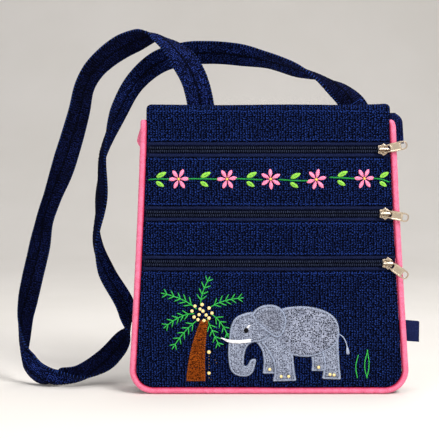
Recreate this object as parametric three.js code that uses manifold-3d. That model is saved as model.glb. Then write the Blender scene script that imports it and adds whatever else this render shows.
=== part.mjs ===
// Embroidered crossbody bag: a slim zipped cloth bag with piped seams and one long strap.
// Millimetres, +Z up, +X to the right as seen from the front, front towards -Y.
// The origin is the middle of the base, on the surface that the bag stands on.

import * as THREE from 'three';
import { mergeVertices } from 'three/addons/utils/BufferGeometryUtils.js';
import Module from 'manifold-3d';

const wasm = await Module();
wasm.setup();

// Driving dimensions of the bag
const GAP = 0.3; // clearance between pieces that are sewn together
const CLOTH = 2; // thickness of the woven cloth
const BAG_HEIGHT = 237.5;
const TOP_HALF_WIDTH = 98.7; // seam line at the top fold
const BASE_HALF_WIDTH = 110.4; // side seams carried down to the base
const SIDE_FLARE = 1.35; // the side seams curve outwards towards the base
const TOP_LEAN = 1; // the top edge stands this far to the left of the base
const TOP_HALF_DEPTH = 6;
const BASE_HALF_DEPTH = 17;
const PUFF = 3; // how far the middle of a face swells
const CORNER_RADIUS = 14; // lower corners of the panels
const TOP_CORNER_RADIUS = 4;
const TOP_FOLD_RISE = 5; // height of the round fold over the top edge
const BACK_LIP = 5; // how far the yoke reaches down the back
const PIPING_RADIUS = 2.7; // centre line to each flat facet
const PIPING_SIDES = 10;
const PIPING_SET = 2; // centre line behind the face of the panel
const PIPING_TOP = 225;
const PIPING_SWAY = 3.4; // the back piping bows out near its upper left end
const PIPING_SWAY_HEIGHT = 209;
const PIPING_SWAY_SPAN = 11;
const GUSSET_TOP = 229;
const GUSSET_SIDE_SAG = 1;

// Zips, from the top down
const ZIP_OPENING = 13; // between the folded edges of two panels
const TAPE_THICKNESS = 0.8;
const TAPE_WIDTH = 14;
const TAPE_SPLIT = 0.4;
const COIL_WIDTH = 5.9;
const COIL_DEPTH = 2;
const COIL_PROUD = 0.2; // coil in front of the panels
const SLIDER_CLEARANCE = 0.4; // slider plate in front of the coil
const ZIPS = [
  { name: 'zip_top', height: 200.6, sliderX: 93.2, pullTilt: 12 },
  { name: 'zip_middle', height: 148.3, sliderX: 94.4, pullTilt: -11 },
  { name: 'zip_lower', height: 107.8, sliderX: 96.8, pullTilt: -35 },
];

// Slider and pull tab
const SLIDER_LENGTH = 9.2;
const SLIDER_WIDTH = 10.4;
const SLIDER_PLATE = 1.3;
const FLANGE_REACH = 2.5; // from the plate back towards the tape
const FLANGE_INSET = 3.5;
const FLANGE_THICKNESS = 1.5;
const FLANGE_LENGTH = 7.6;
const BRIDGE_LENGTH = 5.6;
const BRIDGE_WIDTH = 2;
const BRIDGE_BAR = 1.1;
const BRIDGE_CLEAR = 1.9; // free height under the bridge
const PULL_THICKNESS = 1.1;
const PULL_BAR = 1; // the bar that turns under the bridge
const PULL_EYE_LENGTH = 3.8;
const PULL_EYE_WIDTH = 5.2;
const PULL_WIDTH = 7.2;
const PULL_LENGTH = 19.6; // from the turning bar to the tip
const PULL_TIP_RADIUS = 3.2;
const PULL_SLOT = { start: 14.4, end: 18.2, width: 4.4 };

// Folded tabs in the right side seam
const SIDE_TAB = { low: 205.5, high: 230, reach: 109.6, thickness: 2.6, slit: 0.5, corner: 6 };
const LABEL = { low: 43.4, high: 60.8, reach: 124, thickness: 1.7, slit: 0.3, corner: 0.8 };
const LABEL_BEHIND_PIPING = 0.3;

// Strap: one flat band, sewn to the back of the bag at both ends
const STRAP_WIDTH = 22;
const STRAP_THICKNESS = 2;
const STRAP_STEPS_PER_ROW = 2;
// Each row is a cross-section: its middle, the direction from the band's first edge to its second,
// and the cup, the angle in degrees by which each half is folded towards the inner face
// (less than zero: towards the outer face).
const STRAP_ROWS = [
  { x: -54, y: 10.3, z: 210, wx: 1, wy: 0, wz: 0, cup: 0 },
  { x: -56.5, y: 8.2, z: 238, wx: 1, wy: 0, wz: 0, cup: 0 },
  { x: -61.5, y: 11, z: 258, wx: 0.94, wy: 0, wz: 0.34, cup: 0 },
  { x: -68.5, y: 15, z: 271.5, wx: 0.85, wy: 0.1, wz: 0.5, cup: 0 },
  { x: -77.5, y: 21, z: 284, wx: 0.6, wy: 0.53, wz: 0.6, cup: 0 },
  { x: -86.5, y: 27, z: 291.5, wx: 0.45, wy: 0.8, wz: 0.35, cup: 0 },
  { x: -99.5, y: 32, z: 297, wx: 0.5, wy: 0.85, wz: 0, cup: 0 },
  { x: -111, y: 36, z: 294, wx: 0.42, wy: 0.75, wz: -0.5, cup: 0 },
  { x: -124, y: 38, z: 289.5, wx: 0.45, wy: 0.7, wz: -0.55, cup: 0 },
  { x: -137.5, y: 40, z: 280.5, wx: 0.5, wy: 0.68, wz: -0.5, cup: 0 },
  { x: -149, y: 41, z: 268.5, wx: 0.6, wy: 0.68, wz: -0.4, cup: 0 },
  { x: -157, y: 42, z: 254.5, wx: 0.6, wy: 0.72, wz: -0.25, cup: 0 },
  { x: -162, y: 42, z: 232.5, wx: 0.7, wy: 0.65, wz: -0.2, cup: 0 },
  { x: -173.5, y: 40, z: 195.5, wx: 0.8, wy: 0.5, wz: -0.3, cup: 10 },
  { x: -186, y: 38, z: 161, wx: 0.88, wy: 0.3, wz: -0.3, cup: 44 },
  { x: -193.2, y: 36.5, z: 139.5, wx: 0.87, wy: 0.3, wz: -0.28, cup: 47 },
  { x: -196, y: 35.5, z: 118, wx: 0.96, wy: 0.15, wz: -0.2, cup: 36 },
  { x: -202.5, y: 33, z: 92, wx: 0.95, wy: 0.25, wz: -0.17, cup: 36 },
  { x: -207.2, y: 31.5, z: 75, wx: 0.9, wy: 0.42, wz: -0.15, cup: 36 },
  { x: -212, y: 29, z: 58, wx: 0.6, wy: 0.8, wz: -0.1, cup: 35 },
  { x: -212.3, y: 26.5, z: 41, wx: 0.2, wy: 0.97, wz: 0, cup: 32 },
  { x: -211.2, y: 24, z: 31, wx: -0.1, wy: 0.98, wz: 0, cup: 30 },
  { x: -208, y: 21, z: 19.5, wx: -0.53, wy: 0.5, wz: -0.68, cup: 30 },
  { x: -199.5, y: 16.5, z: 10.4, wx: -0.4, wy: 0.42, wz: -0.82, cup: 27 },
  { x: -187.5, y: 10.5, z: 5.8, wx: -0.12, wy: 0.6, wz: -0.74, cup: 36 },
  { x: -173, y: 12.5, z: 2.6, wx: -0.05, wy: 0.92, wz: 0.2, cup: 70 },
  { x: -163, y: 15, z: 3.4, wx: -0.1, wy: 0.82, wz: 0.5, cup: 62 },
  { x: -153.5, y: 19.5, z: 7, wx: -0.1, wy: 0.78, wz: 0.64, cup: 44 },
  { x: -137, y: 28.5, z: 20, wx: -0.44, wy: 0.6, wz: 0.66, cup: 14 },
  { x: -126.5, y: 32, z: 32, wx: -0.5, wy: 0.65, wz: 0.55, cup: 10 },
  { x: -119, y: 33, z: 43, wx: -0.15, wy: 0.9, wz: 0.4, cup: 14 },
  { x: -121, y: 33, z: 63.5, wx: 0.55, wy: 0.78, wz: 0.3, cup: 0 },
  { x: -140, y: 34, z: 95, wx: 0.5, wy: 0.84, wz: 0.22, cup: -12 },
  { x: -149, y: 34, z: 119.5, wx: 0.12, wy: 1, wz: 0, cup: -26 },
  { x: -144.5, y: 36, z: 160, wx: -0.53, wy: 0.85, wz: 0, cup: -12 },
  { x: -143.3, y: 38, z: 198, wx: -0.05, wy: 1, wz: 0, cup: -27 },
  { x: -128.5, y: 42, z: 233, wx: 0.52, wy: 0.8, wz: -0.3, cup: -5 },
  { x: -114, y: 44, z: 258, wx: 0.5, wy: 0.7, wz: -0.5, cup: 0 },
  { x: -94, y: 45, z: 275.5, wx: 0.38, wy: 0.55, wz: -0.74, cup: 0 },
  { x: -71.5, y: 43, z: 282.5, wx: 0.16, wy: 0.52, wz: -0.84, cup: 0 },
  { x: -49, y: 39, z: 283.5, wx: 0, wy: 0.58, wz: -0.82, cup: 0 },
  { x: -23.5, y: 33, z: 281, wx: 0.01, wy: 0.62, wz: -0.78, cup: 0 },
  { x: 0, y: 27.5, z: 276, wx: 0.07, wy: 0.84, wz: -0.53, cup: 0 },
  { x: 21.5, y: 22, z: 269.5, wx: 0.1, wy: 0.86, wz: -0.48, cup: -8 },
  { x: 43.5, y: 16, z: 262.5, wx: 0.35, wy: 0.94, wz: 0, cup: -20 },
  { x: 59.5, y: 11.5, z: 252, wx: 0.64, wy: 0.58, wz: 0.5, cup: -22 },
  { x: 71, y: 9.2, z: 238, wx: 0.8, wy: 0.2, wz: 0.56, cup: -10 },
  { x: 81, y: 9.9, z: 217.5, wx: 0.87, wy: 0, wz: 0.5, cup: 0 },
];

// Mesh resolution
const PANEL_COLUMNS = 12;
const BOTTOM_STEPS = 4;
const CORNER_STEPS = 5;
const SIDE_STEPS = 14;

// Worked out from the sizes above
const PANEL_BOTTOM = 2 * PIPING_RADIUS + GAP;
const CORNER_Z = PANEL_BOTTOM + CORNER_RADIUS;
const CORNER_TILT = sideTilt(CORNER_Z);
const CORNER_X = sideSeam(CORNER_Z) - CORNER_RADIUS / Math.cos(CORNER_TILT);
const SIDE_START = CORNER_Z + CORNER_RADIUS * Math.sin(CORNER_TILT);
const FOLD_START = BAG_HEIGHT - TOP_FOLD_RISE;
const SLIDER_BACK = -SLIDER_CLEARANCE;
const SLIDER_FACE = SLIDER_BACK - SLIDER_PLATE;
const PULL_AXIS_Y = SLIDER_FACE - BRIDGE_CLEAR / 2;

const NAVY_CLOTH = finish(0x1a2247, 0.95, 0);
const STRAP_CLOTH = finish(0x18204a, 0.9, 0);
const PINK_CLOTH = finish(0xf27da6, 0.85, 0);
const ZIP_TAPE = finish(0x161c3d, 0.9, 0);
const ZIP_COIL = finish(0x0d1226, 0.5, 0);
const PALE_METAL = finish(0xcfc4b2, 0.3, 1);

function finish(color, roughness, metalness) {
  return { color, roughness, metalness };
}

function piece(name, geometry, look) {
  const mesh = new THREE.Mesh(geometry, new THREE.MeshStandardMaterial(look));
  mesh.name = name;
  return mesh;
}

// A piece of the body, which leans with it.
function sewn(name, geometry, look) {
  const lean = new THREE.Matrix4().makeShear(0, 0, 0, 0, -TOP_LEAN / BAG_HEIGHT, 0);
  return piece(name, geometry.applyMatrix4(lean), look);
}

// Half the width between the side seams at a height.
function sideSeam(z) {
  const fall = Math.max(0, 1 - z / BAG_HEIGHT);
  return TOP_HALF_WIDTH + (BASE_HALF_WIDTH - TOP_HALF_WIDTH) * fall ** SIDE_FLARE;
}

// Angle between a side seam and the vertical at a height.
function sideTilt(z) {
  const reach = 1;
  return Math.atan((sideSeam(z - reach) - sideSeam(z + reach)) / (2 * reach));
}

// Half the width of a panel at a height, with its rounded lower corners.
function panelHalfWidth(z) {
  if (z >= SIDE_START) {
    return sideSeam(z);
  }
  return CORNER_X + Math.sqrt(Math.max(0, CORNER_RADIUS ** 2 - (CORNER_Z - z) ** 2));
}

// Half the depth of the bag at its side seams: full at the base, slim at the top.
function seamHalfDepth(z) {
  const rise = THREE.MathUtils.clamp(z / BAG_HEIGHT, 0, 1);
  return TOP_HALF_DEPTH + (BASE_HALF_DEPTH - TOP_HALF_DEPTH) * Math.cos((rise * Math.PI) / 2);
}

// Half the depth at the outside of the front or back face.
function faceHalfDepth(x, z) {
  const across = x / panelHalfWidth(z);
  const rise = THREE.MathUtils.clamp(z / BAG_HEIGHT, 0, 1);
  return seamHalfDepth(z) + PUFF * (1 - across * across) * Math.sin(rise * Math.PI);
}

// Closed solid through rings with the same number of points, an even number.
// Point i of a ring lies opposite point count - 1 - i, and the end caps are strips between them.
function loft(rings) {
  const count = rings[0].length;
  const positions = rings.flat().flatMap((point) => [point.x, point.y, point.z]);
  const index = [];
  for (let ring = 0; ring < rings.length - 1; ring += 1) {
    for (let i = 0; i < count; i += 1) {
      const a = ring * count + i;
      const b = ring * count + ((i + 1) % count);
      index.push(a, b, b + count, a, b + count, a + count);
    }
  }
  const last = (rings.length - 1) * count;
  for (let i = 0; i < count / 2 - 1; i += 1) {
    const j = count - 1 - i;
    index.push(i, j, j - 1, i, j - 1, i + 1);
    index.push(last + i, last + j - 1, last + j, last + i, last + i + 1, last + j - 1);
  }
  const geometry = new THREE.BufferGeometry();
  geometry.setAttribute('position', new THREE.Float32BufferAttribute(positions, 3));
  geometry.setIndex(index);
  return facingOut(geometry);
}

// Turns the triangles round if they enclose a negative volume.
function facingOut(geometry) {
  const position = geometry.attributes.position;
  const index = geometry.index.array;
  const corners = [new THREE.Vector3(), new THREE.Vector3(), new THREE.Vector3()];
  let volume = 0;
  for (let i = 0; i < index.length; i += 3) {
    corners.forEach((corner, k) => corner.fromBufferAttribute(position, index[i + k]));
    volume += corners[0].dot(corners[1].clone().cross(corners[2]));
  }
  if (volume < 0) {
    for (let i = 0; i < index.length; i += 3) {
      [index[i + 1], index[i + 2]] = [index[i + 2], index[i + 1]];
    }
  }
  geometry.computeVertexNormals();
  return geometry;
}

function toSolid(geometry) {
  const plain = geometry.clone();
  plain.deleteAttribute('normal');
  plain.deleteAttribute('uv');
  const merged = mergeVertices(plain);
  const vertProperties = new Float32Array(merged.attributes.position.array);
  const triVerts = new Uint32Array(merged.index.array);
  return new wasm.Manifold(new wasm.Mesh({ numProp: 3, vertProperties, triVerts }));
}

function toGeometry(solid) {
  const mesh = solid.getMesh();
  const geometry = new THREE.BufferGeometry();
  geometry.setAttribute('position', new THREE.Float32BufferAttribute(mesh.vertProperties, 3));
  geometry.setIndex(Array.from(mesh.triVerts));
  geometry.computeVertexNormals();
  return geometry;
}

// A row of wall points at one height: the outside from left to right, then the inside back again.
function wallRow(halfLength, columns, outerPoint, innerPoint) {
  const outer = [];
  const inner = [];
  for (let i = 0; i <= columns; i += 1) {
    const x = halfLength * ((2 * i) / columns - 1);
    outer.push(outerPoint(x));
    inner.push(innerPoint(x));
  }
  return [...outer, ...inner.reverse()];
}

// A cloth panel in the front (side -1) or back (side +1) face, through rows at the given heights.
function clothPanel(heights, side) {
  const rows = heights.map((z) =>
    wallRow(
      panelHalfWidth(z),
      PANEL_COLUMNS,
      (x) => new THREE.Vector3(x, side * faceHalfDepth(x, z), z),
      (x) => new THREE.Vector3(x, side * (faceHalfDepth(x, z) - CLOTH), z),
    ),
  );
  return loft(rows);
}

function evenHeights(low, high, steps) {
  return Array.from({ length: steps + 1 }, (_, i) => low + ((high - low) * i) / steps);
}

// Heights that follow the rounded lower corners, then rise evenly.
function heightsFromBase(high, steps) {
  const corner = Array.from(
    { length: CORNER_STEPS },
    (_, i) => CORNER_Z - CORNER_RADIUS * Math.cos((i / CORNER_STEPS) * (Math.PI / 2)),
  );
  return [...corner, ...evenHeights(SIDE_START, high, steps)];
}

// The yoke: the strip above the top zip, folded over the top edge and a little way down the back.
function yoke(low) {
  const foldHalfWidth = (z) => {
    const above = Math.max(0, z - (BAG_HEIGHT - TOP_CORNER_RADIUS));
    return sideSeam(z) - TOP_CORNER_RADIUS + Math.sqrt(TOP_CORNER_RADIUS ** 2 - above ** 2);
  };
  const face = (z, side) =>
    wallRow(
      foldHalfWidth(z),
      PANEL_COLUMNS,
      (x) => new THREE.Vector3(x, side * faceHalfDepth(x, z), z),
      (x) => new THREE.Vector3(x, side * (faceHalfDepth(x, z) - CLOTH), z),
    );
  const fold = (angle) => {
    const z = FOLD_START + TOP_FOLD_RISE * Math.sin(angle);
    const innerZ = FOLD_START + (TOP_FOLD_RISE - CLOTH) * Math.sin(angle);
    const out = -Math.cos(angle);
    return wallRow(
      foldHalfWidth(z),
      PANEL_COLUMNS,
      (x) => new THREE.Vector3(x, out * faceHalfDepth(x, FOLD_START), z),
      (x) => new THREE.Vector3(x, out * (faceHalfDepth(x, FOLD_START) - CLOTH), innerZ),
    );
  };
  const front = evenHeights(low, FOLD_START, 3).map((z) => face(z, -1));
  const top = [1, 2, 3, 4, 5].map((step) => fold((step * Math.PI) / 6));
  const back = evenHeights(FOLD_START - BACK_LIP, FOLD_START, 1).reverse().map((z) => face(z, 1));
  return loft([...front, ...top, ...back]);
}

// Stations round the seam line, from the upper left, under the base, to the upper right.
// Each has its place and its direction away from the bag, in the plane of the face.
function seamStations(offset, top) {
  const right = [];
  const add = (x, z, angle) => {
    const out = { x: Math.cos(angle), z: Math.sin(angle) };
    right.push({ x: x + offset * out.x, z: z + offset * out.z, out });
  };
  for (let i = 0; i < BOTTOM_STEPS; i += 1) {
    add((CORNER_X * i) / BOTTOM_STEPS, PANEL_BOTTOM, -Math.PI / 2);
  }
  for (let i = 0; i <= CORNER_STEPS; i += 1) {
    const angle = -Math.PI / 2 + ((Math.PI / 2 + CORNER_TILT) * i) / CORNER_STEPS;
    add(CORNER_X + CORNER_RADIUS * Math.cos(angle), CORNER_Z + CORNER_RADIUS * Math.sin(angle), angle);
  }
  for (const z of evenHeights(SIDE_START, top, SIDE_STEPS).slice(1)) {
    add(sideSeam(z), z, sideTilt(z));
  }
  const left = right.slice(1).reverse();
  return [...left.map((s) => ({ x: -s.x, z: s.z, out: { x: -s.out.x, z: s.out.z } })), ...right];
}

// The side and base strip between the two faces. Under the base it sags flat onto the surface.
function gusset() {
  const across = [-1, -0.76, -0.42, 0.42, 0.76, 1];
  const sagAcross = [0, 0, 1, 1, 0, 0];
  const rings = seamStations(0, GUSSET_TOP).map(({ x, z, out }) => {
    const down = Math.max(0, -out.z);
    const sag = GUSSET_SIDE_SAG + (PANEL_BOTTOM - GUSSET_SIDE_SAG) * down ** 2;
    const half = seamHalfDepth(z) - CLOTH - GAP;
    const place = (i, inset) => {
      const move = sag * sagAcross[i] - inset;
      return new THREE.Vector3(x + move * out.x, half * across[i], z + move * out.z);
    };
    const outer = across.map((_, i) => place(i, 0));
    const inner = across.map((_, i) => place(i, CLOTH));
    return [...outer, ...inner.reverse()];
  });
  return loft(rings);
}

// A ring of the piping round a centre, with a flat facet towards the panel and the surface below.
function pipingRing(centre, out, scale) {
  const radius = (scale * PIPING_RADIUS) / Math.cos(Math.PI / PIPING_SIDES);
  return Array.from({ length: PIPING_SIDES }, (_, i) => {
    const angle = ((i + 0.5) * 2 * Math.PI) / PIPING_SIDES;
    const away = radius * Math.cos(angle);
    return new THREE.Vector3(
      centre.x + away * out.x,
      centre.y + radius * Math.sin(angle),
      centre.z + away * out.z,
    );
  });
}

// Covered cord in the seam of the front (side -1) or back (side +1) face, with rounded ends.
function piping(side, sway) {
  const stations = seamStations(PIPING_RADIUS + GAP, PIPING_TOP);
  const rings = stations.map(({ x, z, out }) => {
    const bow = x < 0 ? sway * Math.exp(-(((z - PIPING_SWAY_HEIGHT) / PIPING_SWAY_SPAN) ** 2)) : 0;
    const centre = new THREE.Vector3(x - bow, side * (seamHalfDepth(z) - PIPING_SET), z);
    return { centre, out };
  });
  const cap = ({ centre, out }) => {
    const end = centre.clone();
    end.z += PIPING_RADIUS / 2;
    return pipingRing(end, out, 0.6);
  };
  const body = rings.map(({ centre, out }) => pipingRing(centre, out, 1));
  return loft([cap(rings[0]), ...body, cap(rings[rings.length - 1])]);
}

// One half of a zip's woven tape, sewn behind the edges of the two panels.
function zipTape(height, towards) {
  const near = height + (towards * TAPE_SPLIT) / 2;
  const far = height + towards * TAPE_WIDTH;
  const setBack = CLOTH + GAP;
  const rows = [near, far].map((z) =>
    wallRow(
      panelHalfWidth(z) - CLOTH - 2 * GAP,
      PANEL_COLUMNS,
      (x) => new THREE.Vector3(x, -(faceHalfDepth(x, z) - setBack), z),
      (x) => new THREE.Vector3(x, -(faceHalfDepth(x, z) - setBack - TAPE_THICKNESS), z),
    ),
  );
  return loft(rows);
}

// The closed coil along the middle of a zip, an oval bar.
function zipCoil(height) {
  const half = panelHalfWidth(height) - CLOTH - 3 * GAP;
  const oval = [
    { up: 0.5, out: 0.25 },
    { up: 0.28, out: 0.5 },
    { up: -0.28, out: 0.5 },
    { up: -0.5, out: 0.25 },
    { up: -0.5, out: -0.25 },
    { up: -0.28, out: -0.5 },
    { up: 0.28, out: -0.5 },
    { up: 0.5, out: -0.25 },
  ];
  const rings = evenHeights(-half, half, PANEL_COLUMNS).map((x) => {
    const middle = -(faceHalfDepth(x, height) + COIL_PROUD - COIL_DEPTH / 2);
    return oval.map(
      ({ up, out }) => new THREE.Vector3(x, middle - out * COIL_DEPTH, height + up * COIL_WIDTH),
    );
  });
  return loft(rings);
}

// The slider: a chamfered plate over the coil, two flanges and a bridge for the pull.
// Its own origin is on the face of the coil, with -Y away from the bag.
function slider() {
  const nose = SLIDER_LENGTH / 2;
  const flank = SLIDER_WIDTH / 2;
  const plateShape = new THREE.Shape([
    new THREE.Vector2(-nose, -0.62 * flank),
    new THREE.Vector2(-0.72 * nose, -flank),
    new THREE.Vector2(0.66 * nose, -flank),
    new THREE.Vector2(nose, -0.5 * flank),
    new THREE.Vector2(nose, 0.5 * flank),
    new THREE.Vector2(0.66 * nose, flank),
    new THREE.Vector2(-0.72 * nose, flank),
    new THREE.Vector2(-nose, 0.62 * flank),
  ]);
  const plate = new THREE.ExtrudeGeometry(plateShape, { depth: SLIDER_PLATE, bevelEnabled: false });
  plate.rotateX(Math.PI / 2);
  plate.translate(0, SLIDER_BACK, 0);
  let solid = toSolid(plate);
  for (const end of [-1, 1]) {
    const sunk = SLIDER_PLATE / 2;
    const flange = new THREE.BoxGeometry(FLANGE_LENGTH, FLANGE_REACH + sunk, FLANGE_THICKNESS);
    flange.translate(0, SLIDER_BACK + (FLANGE_REACH - sunk) / 2, end * (FLANGE_INSET + FLANGE_THICKNESS / 2));
    solid = solid.add(toSolid(flange));
  }
  return toGeometry(solid.add(toSolid(bridge())));
}

// The arch on the slider, its feet sunk into the plate.
function bridge() {
  const outer = BRIDGE_LENGTH / 2;
  const inner = outer - BRIDGE_BAR;
  const crown = SLIDER_FACE - BRIDGE_CLEAR;
  const foot = SLIDER_FACE + SLIDER_PLATE / 2;
  const shape = new THREE.Shape();
  shape.moveTo(-outer, foot);
  shape.lineTo(-outer, crown);
  shape.quadraticCurveTo(-outer, crown - BRIDGE_BAR, -inner, crown - BRIDGE_BAR);
  shape.lineTo(inner, crown - BRIDGE_BAR);
  shape.quadraticCurveTo(outer, crown - BRIDGE_BAR, outer, crown);
  shape.lineTo(outer, foot);
  shape.lineTo(inner, foot);
  shape.lineTo(inner, crown);
  shape.lineTo(-inner, crown);
  shape.lineTo(-inner, foot);
  shape.closePath();
  const arch = new THREE.ExtrudeGeometry(shape, { depth: BRIDGE_WIDTH, bevelEnabled: false, curveSegments: 4 });
  arch.translate(0, 0, -BRIDGE_WIDTH / 2);
  return arch;
}

// The pull tab: an eye whose bar turns under the bridge, and a plate with a slot near its tip.
// Its own origin is on the middle of the bar, and it reaches along +X.
function pullTab() {
  const half = PULL_WIDTH / 2;
  const heel = -PULL_BAR / 2;
  const tip = PULL_LENGTH;
  const shape = new THREE.Shape();
  shape.moveTo(heel, -half);
  shape.lineTo(tip - PULL_TIP_RADIUS, -half);
  shape.absarc(tip - PULL_TIP_RADIUS, -half + PULL_TIP_RADIUS, PULL_TIP_RADIUS, -Math.PI / 2, 0, false);
  shape.absarc(tip - PULL_TIP_RADIUS, half - PULL_TIP_RADIUS, PULL_TIP_RADIUS, 0, Math.PI / 2, false);
  shape.lineTo(heel, half);
  shape.closePath();
  shape.holes.push(slot(PULL_BAR / 2, PULL_BAR / 2 + PULL_EYE_LENGTH, PULL_EYE_WIDTH));
  shape.holes.push(slot(PULL_SLOT.start, PULL_SLOT.end, PULL_SLOT.width));
  const tab = new THREE.ExtrudeGeometry(shape, {
    depth: PULL_THICKNESS,
    bevelEnabled: false,
    curveSegments: 4,
  });
  tab.rotateX(Math.PI / 2);
  tab.translate(0, PULL_THICKNESS / 2, 0);
  return tab;
}

function slot(start, end, width) {
  const path = new THREE.Path();
  path.moveTo(start, -width / 2);
  path.lineTo(start, width / 2);
  path.lineTo(end, width / 2);
  path.lineTo(end, -width / 2);
  path.closePath();
  return path;
}

// One zip: two tapes, the coil, the slider and the pull that hangs on it.
function zip({ name, height, sliderX, pullTilt }) {
  const group = new THREE.Group();
  group.add(sewn(`${name}_tape_upper`, zipTape(height, 1), ZIP_TAPE));
  group.add(sewn(`${name}_tape_lower`, zipTape(height, -1), ZIP_TAPE));
  group.add(sewn(`${name}_coil`, zipCoil(height), ZIP_COIL));

  const seat = new THREE.Group();
  seat.position.set(sliderX, -(faceHalfDepth(sliderX, height) + COIL_PROUD), height);
  const rise = 1;
  const lean = faceHalfDepth(sliderX, height - rise) - faceHalfDepth(sliderX, height + rise);
  seat.rotation.x = -Math.atan2(lean, 2 * rise);
  seat.add(piece(`${name}_slider`, slider(), PALE_METAL));
  const pull = piece(`${name}_pull`, pullTab(), PALE_METAL);
  pull.position.y = PULL_AXIS_Y;
  pull.rotation.y = -THREE.MathUtils.degToRad(pullTilt);
  seat.add(pull);
  group.add(seat);
  return group;
}

// A band folded in two and sewn into the right side seam, fold outwards.
function foldedTab({ low, high, reach, thickness, slit, corner }, middleY, start) {
  const shape = new THREE.Shape();
  shape.moveTo(start, low);
  shape.lineTo(reach, low);
  shape.lineTo(reach, high - corner);
  shape.absarc(reach - corner, high - corner, corner, 0, Math.PI / 2, false);
  shape.lineTo(start, high);
  shape.closePath();
  const band = new THREE.ExtrudeGeometry(shape, { depth: thickness, bevelEnabled: false, curveSegments: 6 });
  band.rotateX(Math.PI / 2);
  band.translate(0, middleY + thickness / 2, 0);
  const foldThickness = (thickness - slit) / 2;
  const depth = reach - foldThickness - start;
  const opening = new THREE.BoxGeometry(2 * depth, slit, 2 * (high - low));
  opening.translate(start, middleY, (low + high) / 2);
  return toGeometry(toSolid(band).subtract(toSolid(opening)));
}

function sideTab() {
  const start = sideSeam(SIDE_TAB.low) + GUSSET_SIDE_SAG + GAP;
  return foldedTab(SIDE_TAB, 0, start);
}

function sideLabel() {
  const middle = (LABEL.low + LABEL.high) / 2;
  const pipingBack = -(seamHalfDepth(middle) - PIPING_SET) + PIPING_RADIUS / Math.cos(Math.PI / PIPING_SIDES);
  const middleY = pipingBack + LABEL_BEHIND_PIPING + LABEL.thickness / 2;
  return foldedTab(LABEL, middleY, sideSeam(LABEL.low) + 2 * GAP);
}

// The strap: a band swept through its rows, flattened where it meets the surface below.
function strap() {
  const centres = new THREE.CatmullRomCurve3(STRAP_ROWS.map(({ x, y, z }) => new THREE.Vector3(x, y, z)));
  const widths = new THREE.CatmullRomCurve3(STRAP_ROWS.map(({ wx, wy, wz }) => new THREE.Vector3(wx, wy, wz)));
  const cups = new THREE.CatmullRomCurve3(STRAP_ROWS.map(({ cup }) => new THREE.Vector3(cup, 0, 0)));
  const steps = (STRAP_ROWS.length - 1) * STRAP_STEPS_PER_ROW;
  const rings = [];
  for (let i = 0; i <= steps; i += 1) {
    const along = i / steps;
    const tangent = centres.getTangent(along);
    const width = widths.getPoint(along);
    width.addScaledVector(tangent, -width.dot(tangent)).normalize();
    const cup = THREE.MathUtils.degToRad(cups.getPoint(along).x);
    rings.push(strapRing(centres.getPoint(along), width, tangent.clone().cross(width), cup));
  }
  return loft(rings);
}

// Three points on the outer face and three on the inner face, which the normal points out of.
function strapRing(middle, width, normal, cup) {
  const face = (across, side) => {
    const lift = Math.abs(across) * Math.sin(cup);
    const point = middle.clone();
    point.addScaledVector(width, (across * Math.cos(cup) * STRAP_WIDTH) / 2);
    point.addScaledVector(normal, (lift * STRAP_WIDTH) / 2 + (side * STRAP_THICKNESS) / 2);
    point.z = Math.max(point.z, side > 0 ? STRAP_THICKNESS : 0);
    return point;
  };
  return [face(-1, -1), face(0, -1), face(1, -1), face(1, 1), face(0, 1), face(-1, 1)];
}

const bag = new THREE.Group();
const openingHalf = ZIP_OPENING / 2;
const [topZip, middleZip, lowerZip] = ZIPS.map(({ height }) => height);
bag.add(sewn('yoke', yoke(topZip + openingHalf), NAVY_CLOTH));
bag.add(
  sewn('flower_panel', clothPanel(evenHeights(middleZip + openingHalf, topZip - openingHalf, 2), -1), NAVY_CLOTH),
);
bag.add(
  sewn('middle_panel', clothPanel(evenHeights(lowerZip + openingHalf, middleZip - openingHalf, 2), -1), NAVY_CLOTH),
);
bag.add(sewn('lower_panel', clothPanel(heightsFromBase(lowerZip - openingHalf, 4), -1), NAVY_CLOTH));
bag.add(sewn('back_panel', clothPanel(heightsFromBase(FOLD_START - BACK_LIP - GAP, 8), 1), NAVY_CLOTH));
bag.add(sewn('gusset', gusset(), NAVY_CLOTH));
bag.add(sewn('front_piping', piping(-1, 0), PINK_CLOTH));
bag.add(sewn('back_piping', piping(1, PIPING_SWAY), PINK_CLOTH));
for (const row of ZIPS) {
  bag.add(zip(row));
}
bag.add(piece('side_tab', sideTab(), STRAP_CLOTH));
bag.add(piece('side_label', sideLabel(), STRAP_CLOTH));
bag.add(piece('strap', strap(), STRAP_CLOTH));

export default bag;
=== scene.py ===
import math

import bpy
import numpy as np
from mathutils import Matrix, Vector
from mathutils.geometry import delaunay_2d_cdt


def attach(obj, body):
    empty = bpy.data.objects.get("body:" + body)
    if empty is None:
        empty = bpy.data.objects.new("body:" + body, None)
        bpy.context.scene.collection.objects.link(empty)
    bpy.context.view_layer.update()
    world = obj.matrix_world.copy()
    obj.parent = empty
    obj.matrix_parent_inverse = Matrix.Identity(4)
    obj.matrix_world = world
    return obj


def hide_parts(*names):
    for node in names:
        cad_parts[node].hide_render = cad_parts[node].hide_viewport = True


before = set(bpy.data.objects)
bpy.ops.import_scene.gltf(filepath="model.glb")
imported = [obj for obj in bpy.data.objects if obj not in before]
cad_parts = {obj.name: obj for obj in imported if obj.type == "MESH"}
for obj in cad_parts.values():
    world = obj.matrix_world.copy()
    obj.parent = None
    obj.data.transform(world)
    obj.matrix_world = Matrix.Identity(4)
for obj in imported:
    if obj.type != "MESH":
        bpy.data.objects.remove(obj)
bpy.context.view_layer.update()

MM = 0.001
UV_MAP = "cloth"
rng = np.random.default_rng(11)

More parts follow.
